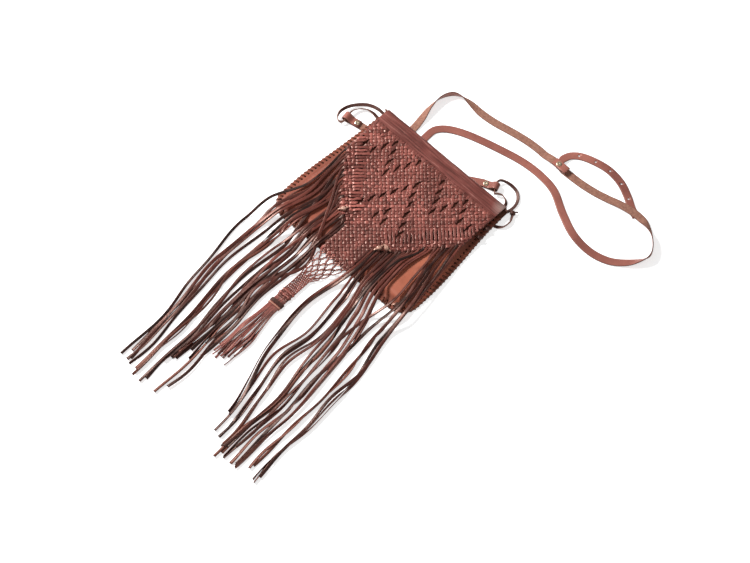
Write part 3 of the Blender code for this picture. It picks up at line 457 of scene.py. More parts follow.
chance = random.Random(7)
stitches = bmesh.new()
stitch_count, stitch_width, stitch_thick = 100, 0.0021, 0.0009
for k in range(stitch_count):
    along = rim_length * (k + 0.5) / stitch_count
    slant = rim_length / stitch_count * 0.28
    sections = []
    for inset, rise, forward in (
        (0.0056, -0.0006, 0.0), (0.0050, 0.0003, 0.04), (0.0036, 0.0008, 0.3), (0.0018, 0.0008, 0.6),
        (0.0004, 0.0004, 0.85), (-0.0006, -0.0010, 0.95), (-0.0008, -0.0022, 1.0), (-0.0004, -0.0032, 1.0),
    ):
        x, y = rim_point(min(max(along + slant * forward, 0.0), rim_length), inset)
        sections.append(Vector((x, y, rim_top(y) + rise)))
    x0, y0 = rim_point(max(along - 0.001, 0.0), 0.003)
    x1, y1 = rim_point(min(along + 0.001, rim_length), 0.003)
    rim = Vector((x1 - x0, y1 - y0, 0.0)).normalized()
    placed = []
    for m, spot in enumerate(sections):
        ahead_of = (sections[min(m + 1, len(sections) - 1)] - sections[max(m - 1, 0)]).normalized()
        across = (rim - ahead_of * rim.dot(ahead_of)).normalized()
        normal = across.cross(ahead_of)
        if normal.z < 0 and m < 4:
            normal, across = -normal, -across
        placed.append((spot, across, normal, stitch_width + chance.uniform(-0.0002, 0.0002), stitch_thick))
    for m in range(4, len(placed)):
        spot, across, normal, width, thick = placed[m]
        if across.dot(placed[m - 1][1]) < 0:
            placed[m] = (spot, -across, -normal, width, thick)
    sweep_strip(stitches, placed, chance.random())
stitch_thong = thong_leather(
    "stitch_thong", (0.10, 0.032, 0.020), (0.21, 0.066, 0.036), (0.08, 0.026, 0.017), (0.20, 0.075, 0.045),
)
place_piece("whip_stitches", stitches, stitch_thong, "bag")

# Painted shade: a flat near-black disc on the rim at each stitch stands in for the shade inside its punched
# hole.
hole_bm = bmesh.new()
for k in range(stitch_count):
    x, y = rim_point(rim_length * (k + 0.5) / stitch_count, 0.0060)
    made = bmesh.ops.create_uvsphere(hole_bm, u_segments=12, v_segments=6, radius=0.0015)["verts"]
    for vert in made:
        vert.co = Vector((x + vert.co.x, y + vert.co.y, rim_top(y) + 0.00005 + vert.co.z * 0.12))
hole_shade = Leather("painted_hole_shade", 0.9, 0.1)
hole_shade.colour = hole_shade.ramp(hole_shade.speckle(300.0), [(0.3, (0.012, 0.005, 0.004)), (0.7, (0.03, 0.012, 0.008))])
place_piece("stitch_hole_shade", hole_bm, hole_shade.done(), "bag")


# Flap band and fold
# The flap's plain top is one piece of leather that runs on over the pouch's lip. It is
# pared thin where it ends behind the fold, so it bends there as the flap opens.

def band_leather():
    hide = Leather("flap_band_leather", 0.4, 0.4)
    hide.colour = hide.ramp(
        hide.speckle(16.0, 5.0),
        [(0.3, (0.100, 0.028, 0.024)), (0.5, (0.185, 0.053, 0.044)), (0.75, (0.27, 0.086, 0.074))],
    )
    wear = hide.speckle(10.0, 4.0, (0.35, 2.2, 1.0))
    hide.tint(wear, [(0.52, 0.0), (0.75, 0.45)], (0.31, 0.155, 0.135))
    lines = hide.speckle(210.0, 6.0, (0.10, 2.2, 1.0), 0.6)
    hide.tint(lines, [(0.36, 0.9), (0.50, 0.0)], (0.085, 0.026, 0.022))
    hide.tint(lines, [(0.56, 0.0), (0.70, 0.6)], (0.40, 0.175, 0.145))
    # Painted highlight: a pale grey sheen on the band's right end at the fold, fading out within 16 mm.
    sheen_spot = hide.node("VectorMath")
    sheen_spot.operation = "DISTANCE"
    sheen_spot.inputs[1].default_value = (0.113, 0.110, 0.0125)
    hide.links.new(hide.coords, sheen_spot.inputs[0])
    distance = hide.between(sheen_spot.outputs["Value"], 0.0, 0.016)
    hide.tint(distance, [(0.1, 0.42), (1.0, 0.0)], (0.46, 0.38, 0.34))
    hide.raise_by(lines, 0.0007, 0.6)
    hide.raise_by(hide.cells(800.0), 0.0002, 0.3)
    hide.raise_by(hide.speckle(28.0, 3.0, (0.5, 1.6, 1.0)), 0.0016, 0.4)
    return hide.done(hide.speckle(40.0, 3.0), [(0.3, 0.28), (0.7, 0.50)])


flap_half, plait_top = 0.116, 0.090
flap_under = 0.0114
band = bmesh.new()
flat_steps, arc_steps, columns = 10, 22, 96
inner_radius, outer_radius, pared_radius, fold_end = 0.0049, 0.0065, 0.0053, math.radians(-58)
path = []
for k in range(flat_steps + 1):
    path.append((mix(plait_top - 0.0035, fold_y, k / flat_steps), flap_under, flap_under + leather))
for k in range(1, arc_steps + 1):
    pared = ease((k / arc_steps - 0.35) / 0.65)
    angle = mix(math.pi / 2, fold_end, k / arc_steps)
    path.append((angle, inner_radius, mix(outer_radius, pared_radius, pared)))
outer, inner = [], []
for k, (at, low, high) in enumerate(path):
    outer_row, inner_row = [], []
    for c in range(columns + 1):
        x = mix(-flap_half, flap_half, c / columns)
        wave = 0.00035 * noise.noise(Vector((x * 60, k * 0.21, 0.7)))
        if k <= flat_steps:
            fade = 1.0 if k > 0 else 0.0
            outer_row.append((x, at, high + wave * fade))
            inner_row.append((x, at, low))
        else:
            y, z = math.cos(at), math.sin(at)
            outer_row.append((x, fold_y + y * (high + wave), hinge_z + z * (high + wave)))
            inner_row.append((x, fold_y + y * low, hinge_z + z * low))
    outer.append([band.verts.new(spot) for spot in outer_row])
    inner.append([band.verts.new(spot) for spot in inner_row])
for rows in (outer, inner, (inner[0], outer[0]), (outer[-1], inner[-1])):
    skin(band, rows)
for end in (0, columns):
    skin(band, ([row[end] for row in outer], [row[end] for row in inner]))
flap_band = place_piece("flap_band", band, band_leather(), None)
soften = flap_band.modifiers.new("cut_edges", "BEVEL")
soften.width, soften.segments, soften.angle_limit = 0.0004, 2, math.radians(50)
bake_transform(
    flap_band, "flap", "bag",
    start=(0.0, fold_y + 0.0008, hinge_z + 0.0056), end=(0.0, fold_y + 0.0030, hinge_z - 0.0045),
)


# Plait of the flap
# Below the band the flap is cut into sixty strips, which are plaited over and under each
# other on the slant. Slits stay open where two neighbours turn back instead of crossing.

half_strips = 30
strip_pitch, row_pitch = flap_half / half_strips, 0.00375
strip_thick, plait_width, net_width, outward_width, inward_width = 0.0011, 0.0050, 0.0017, 0.0043, 0.0030
vee_inner, vee_outer = (0.048, -0.056), (0.114, 0.025)
column_strips, column_end, net_end, tail_end = 7, 54, 68, 80
net_end_y, tail_end_y = -0.163, -0.205
tail_width, tail_offset, tail_z = 0.0200, -0.012, 0.0019
tail_pitch = tail_width / (2 * column_strips)
slits = set()
for row, at in (
    (2, (6, 18)), (6, (8, 16, 20)), (10, (0, 10, 14, 22, 26)), (14, (2, 12)), (18, (4,)), (22, (6,)),
    (26, (0, 8)), (30, (2, 10)), (56, (0, 4)), (58, (2, 6)), (62, (0, 4)), (64, (2, 6)),
):
    for column in at:
        slits.update(((column, row), (-column, row)))


def last_row(half_strip):
    """The last plaited row in a half strip: the V of the flap, and the tail at its middle."""
    number = half_strip if half_strip >= 0 else -half_strip - 1
    if number < column_strips:
        return tail_end
    x = (number + 0.5) * strip_pitch
    (x0, y0), (x1, y1) = vee_inner, vee_outer
    y = y0 + (x - x0) * (0.5 if x < x0 else (y1 - y0) / (x1 - x0))
    return int((plait_top - y) / row_pitch)


def slit_pull(i, j):
    """How far the open slits near a crossing pull it aside, and how much they narrow it."""
    aside = nearness = 0.0
    for column, row in slits:
        if abs(column - i) < 4 and abs(row - j) < 4 and row <= column_end:
            near = math.exp(-((column - i) / 1.5) ** 2 - ((row - j) / 1.7) ** 2)
            aside += 0.0026 * near * min(max((i - column) * 1.6, -1.0), 1.0)
            nearness = max(nearness, near)
    return aside, nearness


def lattice_place(i, j):
    """Where a crossing lies, the height of the leather's underside and the strips' pitch there."""
    column_y = plait_top - column_end * row_pitch
    if column_end < j < net_end:
        paired = 0.48 * ease((j - column_end) / 2) * ease((net_end - j) / 3)
        falling, rising = i + j, i - j
        falling += paired * math.sin(math.pi / 2 * falling)
        rising += paired * math.sin(math.pi / 2 * rising)
        i, j = (falling + rising) / 2, (falling - rising) / 2
    if j <= column_end:
        sway = 0.0013 * noise.noise(Vector((i * 0.45, j * 0.45, 4.0)))
        dip = 0.0012 * noise.noise(Vector((i * 0.45, j * 0.45, 9.0)))
        x, y = i * strip_pitch + slit_pull(i, j)[0] + sway, plait_top - j * row_pitch + dip
        return x, y, flap_under, strip_pitch
    if j <= net_end:
        t = (j - column_end) / (net_end - column_end)
        y = mix(column_y, net_end_y, t)
        z = mix(flap_under, tail_z, min(max((-0.106 - y) / 0.044, 0.0), 1.0))
        pitch = mix(strip_pitch, tail_pitch, t ** 1.05)
        return tail_offset * t + i * pitch, y, z, pitch
    t = (j - net_end) / (tail_end - net_end)
    return tail_offset + i * tail_pitch, mix(net_end_y, tail_end_y, t), tail_z, tail_pitch


def crosses(i, j):
    """True where two strips cross, and false at a slit or an edge, where they turn back."""
    if abs(i) >= half_strips or (i, j - 1) in slits or (i, j + 1) in slits:
        return False
    return j <= last_row(i) and j <= last_row(i - 1)


def follow_strip(start):
    """One strip's way through the plait: (x, y, z of its middle, width), and where it leaves."""
    h, j = start, 0
    way = []
    while True:
        aim_column = h + 1 if (h + 1 + j + 1) % 2 else h
        step = 1 if aim_column == h + 1 else -1
        rows_left = min(last_row(aim_column), last_row(aim_column - 1)) - j
        side_by_side = abs(aim_column) > column_strips and 5 < rows_left < 12
        outward = (step > 0) == (aim_column > 0)
        x, y, z, pitch = lattice_place(h + 0.5, j + 0.5)
        width = strip_width(pitch) * (1 - 0.30 * slit_pull(h + 0.5, j + 0.5)[1])
        middle = 0.00115
        if side_by_side:
            middle, width = (0.00230, outward_width) if outward else (0.00045, inward_width)
        way.append((x, y, z + middle, width))
        j += 1
        if j > last_row(h):
            return way, h, j
        x, y, z, pitch = lattice_place(aim_column, j)
        width = strip_width(pitch) * (1 - 0.30 * slit_pull(aim_column, j)[1])
        if crosses(aim_column, j):
            over = (j % 2 == 0) == (step > 0)
            high, low = 0.00190, 0.00060
            if side_by_side:
                over = outward
                high, low, width = 0.00240, 0.00040, outward_width if over else inward_width
            elif rows_left <= 5:
                lump = noise.noise(Vector((aim_column * 0.9, j * 1.3, 2.0)))
                high, low, width = 0.00285 + 0.0009 * lump, 0.00080, 0.0058 + 0.0010 * lump
            way.append((x, y, z + (high if over else low), width))
            h += step
        else:
            way.append((x - step * pitch * 0.74, y, z + 0.00125, width * 0.82))
        if j >= last_row(h):
            return way, h, j


def strip_width(pitch):
    """Full width in the plait and in the dense tail, and narrow in the open net between."""
    if pitch > strip_pitch * 0.99:
        return plait_width
    t = (pitch - tail_pitch) / (strip_pitch - tail_pitch)
    return net_width if t < 0.88 else mix(net_width, plait_width, (t - 0.88) / 0.12)


def smooth_way(way, steps):
    """More places along a way, on a smooth curve through it."""
    fine = []
    for k in range(len(way) - 1):
        p0, p1, p2, p3 = way[max(k - 1, 0)], way[k], way[k + 1], way[min(k + 2, len(way) - 1)]
        for s in range(steps):
            t = s / steps
            fine.append(tuple(
                b + 0.5 * t * (c - a + t * (2 * a - 5 * b + 4 * c - d + t * (3 * b - a - 3 * c + d)))
                for a, b, c, d in zip(p0, p1, p2, p3)
            ))
    fine.append(tuple(way[-1]))
    return fine


def way_sections(way, thick):
    """Sections of a strip that lies along (x, y, z, width, tilt in radians)."""
    sections = []
    for k, (x, y, z, width, tilt) in enumerate(way):
        a, b = Vector(way[max(k - 1, 0)][:3]), Vector(way[min(k + 1, len(way) - 1)][:3])
        onward = (b - a).normalized()
        side = onward.cross(Vector((0, 0, 1)))
        side = side.normalized() if side.length > 0.05 else Vector((1, 0, 0))
        up = side.cross(onward)
        across = side * math.cos(tilt) + up * math.sin(tilt)
        normal = up * math.cos(tilt) - side * math.sin(tilt)
        sections.append((Vector((x, y, z)), across, normal, width, thick))
    return sections


# Fringe
# Every strip leaves the plait at the V and hangs on as fringe. The strips lie in locks,
# slide over each other, and turn to show their cut edges and their lighter flesh side.

lock_levels = (-0.055, -0.106, -0.150, -0.219, -0.276, -0.332, -0.389, -0.450)
right_locks = (
    (0, 1, (386, 394), (
        (29, 33), (30.5, 34.7), (21.5, 26), (18.5, 23), (27, 31.5), (45, 49.5), (63, 67), (66, 70))),
    (2, 6, (420, 436), (
        (36, 54), (39, 54), (46, 62), (54, 70), (46, 64), (58, 76), (71.5, 87), (74, 89))),
    (7, 9, (428, 443), (
        (54, 62), (57, 64), (66, 74), (78, 87), (84, 93), (93, 102), (92, 100), (93, 101))),
    (10, 15, (452, 440), (
        (64, 80), (68, 84), (80, 97), (96, 113), (102, 122), (108, 129), (106, 127), (107, 128))),
    (16, 22, (425, 441), (
        (109, 130), (121, 136), (124, 143), (131, 157), (136, 162), (140, 165), (142, 167), (144, 170))),
)
left_locks = (
    (0, 9, (336, 402), (
        (30, 62), (31, 67), (33, 72), (33, 76), (30, 72), (30, 68), (30, 66), (30, 65))),
    (10, 22, (446, 424), (
        (66, 110), (71, 125), (80, 131), (88, 129), (80, 121), (74, 115), (70, 110), (68, 107))),
)


def lie_of(side, number):
    """The lock's middle line for a strip: (y, x) at each level, and where the strip ends."""
    for first, last, ends, reach in right_locks if side > 0 else left_locks:
        if first <= number <= last:
            share = (number - first) / (last - first)
            stray = chance.uniform(-1.7, -1.0) if number in (13, 17, 19) else chance.uniform(-0.30, 0.30)
            line = []
            for k, (y, (inner_x, outer_x)) in enumerate(zip(lock_levels, reach)):
                here = share + stray * min((k + 1) / 3, 1.0) + (chance.uniform(-0.08, 0.08) if k else 0.0)
                line.append((y, side * mix(inner_x, outer_x, here) * 0.001))
            if side < 0 and number == 22:
                line = [(y, x - 0.011 * math.exp(-((y + 0.115) / 0.05) ** 2)) for y, x in line]
            end_y = -mix(*ends, share) * 0.001 + chance.uniform(-0.006, 0.012)
            return line, max(end_y, -0.4515)
    return [], 0.0


def at_level(line, y):
    """Where a strand lies at a level, on a smooth curve through the (y, x) of its line."""
    for k in range(len(line) - 1):
        (y0, x0), (y1, x1) = line[k], line[k + 1]
        if y >= y1:
            t = (y0 - y) / (y0 - y1)
            before, after = line[max(k - 1, 0)][1], line[min(k + 2, len(line) - 1)][1]
            leave, meet = (x1 - before) / 2, (after - x0) / 2
            bend = (t ** 3 - 2 * t * t + t) * leave + (t ** 3 - t * t) * meet
            return mix(x0, x1, ease(t)) + bend
    return line[-1][1]


def hang_strip(way, h):
    """Carry a strip on from the V's edge as a hanging strand, down to the table."""
    side = 1 if h >= 0 else -1
    number = (h if h >= 0 else -h - 1) - column_strips
    line, end_y = lie_of(side, number)
    y0 = way[-1][1]
    line = [(y0 - 0.006, (h + 0.5) * strip_pitch)] + [spot for spot in line if spot[0] < y0 - 0.012]
    phase, swing = chance.uniform(0, 6.3), chance.uniform(0.3, 1.2)
    layer = chance.uniform(0.0, 1.0)
    roll = chance.uniform(-0.35, 0.35)
    turn_place = chance.uniform(-0.40, -0.12)
    turn_to = chance.choice((0, 0, 0, 0, 1, 1, -1)) * math.pi * chance.uniform(0.35, 1.0)
    strand_width = chance.uniform(0.0041, 0.0055)
    y = y0 - 0.006
    hung = []
    while y > end_y:
        low = (y0 - y) / 0.05
        x = at_level(line, y) + 0.0011 * swing * math.sin(phase + (y0 - y) * 55) * min(low, 1.0)
        x += 0.0017 * swing * math.sin(phase * 2 + (y0 - y) * 23) * min(low * 0.6, 1.0)
        pile = layer * 0.0032 * min(low, 1.0)
        off_pouch = max(ease((-0.104 - y) / 0.046), ease((abs(x) - side_half(y) - 0.001) / 0.012))
        z = mix(flap_under + 0.0008, 0.0009, off_pouch) + pile
        tilt = roll * min(low, 1.0) + 0.35 * math.sin(phase + y * 31) * min(low * 0.5, 1.0)
        tilt += turn_to * ease((turn_place - y) / 0.05)
        hung.append((x, y, z, mix(0.0030, strand_width, min(low * 0.5, 1.0)), tilt))
        y -= 0.0062
    return hung


fringe_finish = thong_leather(
    "fringe_leather", (0.010, 0.005, 0.005), (0.27, 0.066, 0.047), (0.10, 0.030, 0.022), (0.27, 0.090, 0.060),
    0.36, 0.55, flecks=0.22,
)
# The plait's cut edges are near black: painted shade in the gaps between its strips.
plait_finish = thong_leather(
    "plait_leather", (0.10, 0.026, 0.021), (0.44, 0.130, 0.104), (0.040, 0.012, 0.011), (0.19, 0.080, 0.058),
    0.38, 0.62, (flap_under + 0.0010, flap_under + 0.0021),
)
plait, fringe, tail = bmesh.new(), bmesh.new(), bmesh.new()
tail_ends = []
on_table = 0.0002
for start in range(-half_strips, half_strips):
    way, h, j = follow_strip(start)
    shade = chance.random()
    in_tail = j > column_end
    first_x, first_y, first_z, first_width = way[0]
    way = [(first_x, first_y + 0.004, first_z, first_width)] + way
    fine = [
        (x, y, z, width, 0.42 * noise.noise(Vector((x * 260, y * 260, start))))
        for x, y, z, width in smooth_way(way, 2)
    ]
    if in_tail:
        tail_ends.append((way[-1], shade))
        split = next(k for k, spot in enumerate(fine) if spot[1] < plait_top - (column_end - 1) * row_pitch)
        sweep_strip(plait, way_sections(fine[:split + 1], strip_thick), shade, None, 0.8)
        sweep_strip(tail, way_sections(fine[split:], 0.0010), 0.15 + 0.8 * shade, on_table)
        continue
    sweep_strip(plait, way_sections(fine, strip_thick), shade)
    hung = [fine[-2], fine[-1]] + hang_strip(way, h)
    sweep_strip(fringe, way_sections(smooth_way(hung, 2), 0.0012), chance.random(), on_table, 0.8)
plaited = place_piece("flap_plait", plait, plait_finish, "flap")
fringed = place_piece("flap_fringe", fringe, fringe_finish, "flap")
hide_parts("flap")


# Tail and tassel
# The middle strips run on below the V as a loose net, then as a narrow dense plait. A dark
# thong is wound round it and knotted as a ring, and below it the strips fan out as a tassel.

tail_finish = thong_leather(
    "tail_leather", (0.060, 0.017, 0.015), (0.38, 0.112, 0.090), (0.11, 0.034, 0.028), (0.34, 0.13, 0.10),
    0.34, 0.7,
)
bound_y, bound_end_y, tassel_end_y = -0.2128, -0.2290, -0.340
chance = random.Random(11)
for place, ((x0, y0, z0, width0), shade) in enumerate(sorted(tail_ends, key=lambda end: end[0][0])):
    spot = place - (len(tail_ends) - 1) / 2
    lean, wander = chance.uniform(-0.0035, 0.0035), chance.uniform(0, 6.3)
    length = tassel_end_y + chance.uniform(-0.002, 0.016)
    roll = chance.uniform(-0.7, 0.7)
    way = [(x0, y0, z0, width0, 0.0)]
    y = bound_y + 0.004
    while y > length:
        low = ease((bound_end_y - y) / 0.06)
        x = mix(tail_offset, -0.010, low) + spot * mix(0.00135, 0.0020, low) + lean * low
        x += 0.0011 * low * math.sin(wander + y * 90)
        z = mix(tail_z + 0.0008, 0.0012 + (place % 3) * 0.0011, low)
        way.append((x, y, z, mix(0.0016, 0.0032, low), (roll + 0.5 * math.sin(wander + y * 40)) * low))
        y -= 0.0065
    sweep_strip(tail, way_sections(smooth_way(way, 2), strip_thick), shade, on_table)
tassel = place_piece("tail_and_tassel", tail, tail_finish, "flap")


def wind_thong(name, start_y, turns, pitch, reach_x, reach_z, thick, finish, replaced):
    """A thong wound closely round the tail's neck, one turn beside the other."""
    bm = bmesh.new()
    steps, middle_z = 28, tail_z + 0.0007
    sections = []
    for k in range(int(turns * steps) + 1):
        angle = 2 * math.pi * k / steps
        squared = 1.0 / max(abs(math.cos(angle)), abs(math.sin(angle))) ** 0.35
        x, z = reach_x * math.cos(angle) * squared, reach_z * math.sin(angle) * squared
        normal = Vector((math.cos(angle) / reach_x, 0.0, math.sin(angle) / reach_z)).normalized()
        place = Vector((tail_offset + x, start_y - pitch * k / steps, middle_z + z))
        sections.append((place, Vector((0.0, 1.0, 0.0)), normal, pitch * 1.02, thick))
    sweep_strip(bm, sections, 0.4, on_table)
    place_piece(name, bm, finish, "flap", replaced)


dark_thong = thong_leather(
    "dark_thong", (0.030, 0.012, 0.010), (0.075, 0.030, 0.024), (0.14, 0.06, 0.042), (0.16, 0.075, 0.05),
    0.42,
)
ring_thong = thong_leather(
    "ring_thong", (0.34, 0.14, 0.10), (0.52, 0.27, 0.20), (0.42, 0.20, 0.14), (0.40, 0.20, 0.14), 0.3,
)
wind_thong("tail_binding_thong", -0.2148, 3.0, 0.0019, 0.0112, 0.0020, 0.0008, dark_thong, "tail_binding")
wind_thong("tail_ring_thong", -0.2222, 1.0, 0.0021, 0.0108, 0.0019, 0.0009, ring_thong, "tail_ring")


# Knots
# Short light thongs are pulled into knots at the flap's V and the pouch's lower corner.
# Dark ones sit on the pouch's right edge and on the tie beside it.

def tie_knot(name, x, y, low, radius, flatten, spin, finish, body, replaced, ends=2):
    """A thong wound over itself: two crossing coils over a core, with short free ends."""
    bm = bmesh.new()
    centre = Vector((x, y, low + radius * flatten))
    turns = 36
    for coil in range(2):
        angle0 = spin + coil * math.pi / 2
        axis = Vector((math.cos(angle0), math.sin(angle0), 0.0))
        side = Vector((-axis.y, axis.x, 0.0))
        swell = 0.98 if coil else 0.80
        for band_number in range(2):
            offset = (band_number - 0.5) * radius * 0.62
            sections = []
            for k in range(turns + 1):
                a = 2 * math.pi * k / turns
                out = side * math.cos(a) * radius * swell * 0.92
                out += Vector((0, 0, math.sin(a) * radius * flatten * swell))
                drift = offset * (1 - 0.35 * abs(math.cos(a)))
                normal = (side * math.cos(a) + Vector((0, 0, math.sin(a) / flatten))).normalized()
                place = centre + axis * drift + out * 0.9
                sections.append((place, axis, normal, radius * 0.60, radius * 0.30))
            sweep_strip(bm, sections, 0.25 + 0.5 * coil, low + 0.00005)
    for number in range(ends):
        angle = spin + 0.6 + number * 2.7
        heading = Vector((math.cos(angle), math.sin(angle), 0.0))
        way = []
        for k in range(6):
            t = k / 5
            place = centre + heading * radius * (0.6 + 1.3 * t)
            z = low + radius * flatten * (1.1 - 0.75 * t * t)
            way.append((place.x, place.y, z, radius * 0.55, 0.25 - 0.5 * t))
        sweep_strip(bm, way_sections(way, radius * 0.26), 0.6, low + 0.00005)
    place_piece(name, bm, finish, body, replaced)


light_thong = thong_leather(
    "light_thong", (0.34, 0.165, 0.115), (0.62, 0.39, 0.31), (0.52, 0.30, 0.22), (0.42, 0.23, 0.16), 0.22,
)
on_plait = flap_under + 0.0026 + 0.0002
for name, column, row, spin in (
    ("knot_left", -12, 37, 0.6), ("knot_right_upper", 11, 38, -0.5), ("knot_right_lower", 9, 40, 0.9),
):
    x, y, z, pitch = lattice_place(column, row)
    tie_knot(name + "_thong", x, y, on_plait, 0.0042, 0.55, spin, light_thong, "flap", name)
on_rim = 2 * leather + seam_gap + 0.0010
tie_knot("corner_knot_thong", 0.1140, -0.1035, on_rim, 0.0046, 0.6, 0.4, light_thong, "bag", "knot_corner")
for name, y, spin in (("knot_edge_upper", 0.0725, 1.1), ("knot_edge_lower", 0.0545, 0.3)):
    x, low = side_half(y) - 0.0025, on_rim + back_z(y)
    tie_knot(name + "_thong", x, y, low, 0.0033, 0.62, spin, dark_thong, "bag", name)
tie_knot("tie_knot_thong", 0.1265, 0.1185, 0.0001, 0.0042, 0.8, 0.5, dark_thong, "bag", "knot_tie", 1)


# Strap
# The strap is a flat belt of one thickness of leather, smooth outside and sueded inside, in
# two lengths. Each end is rolled round its loop and riveted; the tail has punched holes.

strap_width, strap_thick = 0.012, 0.0016


def belt_section(width, thick):
    """A belt's section, with its cut edges rounded and burnished."""
    w, t = width / 2, thick / 2
    upper = [
        (-w, 0.0, 1.0, 0.5), (-w * 0.985, t * 0.6, 1.0, 0.1),
        (-w * 0.94, t * 0.95, 0.5, 0.0), (-w * 0.6, t, 0.0, 0.0),
    ]
    over = upper + [(-a, n, edge, side) for a, n, edge, side in reversed(upper)]
    under = [(a, -n, edge, 1.0) for a, n, edge, side in reversed(over[1:-1])]
    return over + under


def sweep_belt(sections, shade=0.5, width=strap_width, thick=strap_thick):
    """A belt through (place, across, normal) sections, which never dips below the table."""
    bm = bmesh.new()
    rings = []
    for place, across, normal in sections:
        corners = []
        for a, n, edge, side in belt_section(width, thick):
            spot = place + across * a + normal * n
            corners.append((Vector((spot.x, spot.y, max(spot.z, 0.0))), edge, side))
        rings.append(strip_ring(bm, corners, shade))
    skin_strip(bm, rings)
    return bm


def lay_belt(route, width=strap_width, thick=strap_thick):
    """Sections along (x, y, lift, tilt) in millimetres and degrees, lying on the table. A point
    that gives only x and y lies flat."""
    fine = smooth_way([(*spot, 0, 0)[:4] for spot in route], 6)
    sections = []
    for k, (x, y, lift, tilt) in enumerate(fine):
        x0, y0 = fine[max(k - 1, 0)][:2]
        x1, y1 = fine[min(k + 1, len(fine) - 1)][:2]
        left = Vector((y0 - y1, x1 - x0, 0.0)).normalized()
        lean = math.radians(tilt)
        across = left * math.cos(lean) + Vector((0, 0, math.sin(lean)))
        normal = Vector((0, 0, math.cos(lean))) - left * math.sin(lean)
        rise = (width * abs(math.sin(lean)) + thick * abs(math.cos(lean))) / 2
        sections.append((Vector((x * 0.001, y * 0.001, max(lift, 0.0) * 0.001 + rise)), across, normal))
    return sections


def belt_leather(name, light, dark, edge, flesh_light, flesh_dark):
    """Belt leather: creased and glossy outside, rough and paler inside, dark at its edges."""
    belt = Leather(name, 0.4)
    belt.colour = belt.ramp(belt.speckle(12.0, 5.0), [(0.3, dark), (0.65, light)])
    belt.tint(belt.speckle(70.0, 4.0), [(0.5, 0.0), (0.8, 0.5)], dark)
    nap = belt.ramp(belt.speckle(320.0, 4.0), [(0.3, flesh_dark), (0.7, flesh_light)])
    belt.tint(belt.painted("flesh_side"), [(0.5, 0.0), (0.9, 1.0)], nap)
    belt.tint(belt.painted("cut_edge"), [(0.35, 0.0), (1.0, 0.9)], edge)
    belt.raise_by(belt.cells(750.0), 0.0002, 0.35)
    belt.raise_by(belt.speckle(260.0, 4.0), 0.0003, 0.35)
    belt.raise_by(belt.speckle(35.0, 3.0), 0.0012, 0.3)
    return belt.done(belt.painted("flesh_side"), [(0.4, 0.40), (0.95, 0.85)])


washer_thick = 0.0006
strap_step, tab_low = strap_thick + seam_gap, washer_thick + seam_gap + strap_thick / 2
roll_height = 2 * 0.0036 + strap_thick


def heading_of(x, y):
    length = math.hypot(x, y)
    return x / length, y / length


left_heading, left_roll, left_back = heading_of(-0.98, -0.2), (-0.1530, 0.0675), 0.0172
right_heading, right_roll, right_back = heading_of(0.94, 0.34), (0.0800, 0.1320), 0.0150
up = Vector((0, 0, 1))


def roll_round(start, heading, z_from, z_to, across, steps=14):
    """The belt turned back on itself, from one height to another."""
    radius, middle = abs(z_to - z_from) / 2, (z_from + z_to) / 2
    rise = 1 if z_to > z_from else -1
    sections = []
    for k in range(1, steps):
        angle = math.pi * k / steps
        out = Vector((heading[0], heading[1], 0.0)) * math.sin(angle)
        high = Vector((0, 0, -rise * math.cos(angle)))
        sections.append((Vector((start[0], start[1], middle)) + (out + high) * radius, across, out + high))
    return sections


def flat_layer(start, heading, stops, across, normal, base):
    return [
        (Vector((start[0] + heading[0] * far, start[1] + heading[1] * far, base + high)), across, normal)
        for far, high in stops
    ]


def rolled_end(roll, heading, rivet_back, below):
    """A belt's end that comes back over itself, from its tip round the roll to the belt."""
    across, back = Vector((-heading[1], heading[0], 0.0)), (-heading[0], -heading[1])
    stops = [(0.0115 * k / 10, mix(roll_height, strap_step, ease(k / 10))) for k in range(11)]
    stops.append((rivet_back + 0.0050, strap_step))
    return (
        flat_layer(roll, back, reversed(stops), across, up, tab_low)
        + roll_round(roll, heading, tab_low + roll_height, tab_low, across)
        + flat_layer(roll, back, ((0.0, 0.0), (rivet_back + below, 0.0)), across, -up, tab_low)
    )


def punch(piece, holes_at, radius):
    """Punch round holes straight down through a belt."""
    for x, y in holes_at:
        bm = bmesh.new()
        bmesh.ops.create_cone(bm, cap_ends=True, segments=20, radius1=radius, radius2=radius, depth=0.03)
        tool = mesh_object("punch", bm)
        tool.location = (x, y, 0.0)
        cut = piece.modifiers.new("punched", "BOOLEAN")
        cut.operation, cut.solver, cut.object = "DIFFERENCE", "EXACT", tool
        bpy.context.view_layer.update()
        whole = bpy.data.meshes.new_from_object(piece.evaluated_get(bpy.context.evaluated_depsgraph_get()))
        piece.modifiers.clear()
        piece.data = whole
        bpy.data.objects.remove(tool)


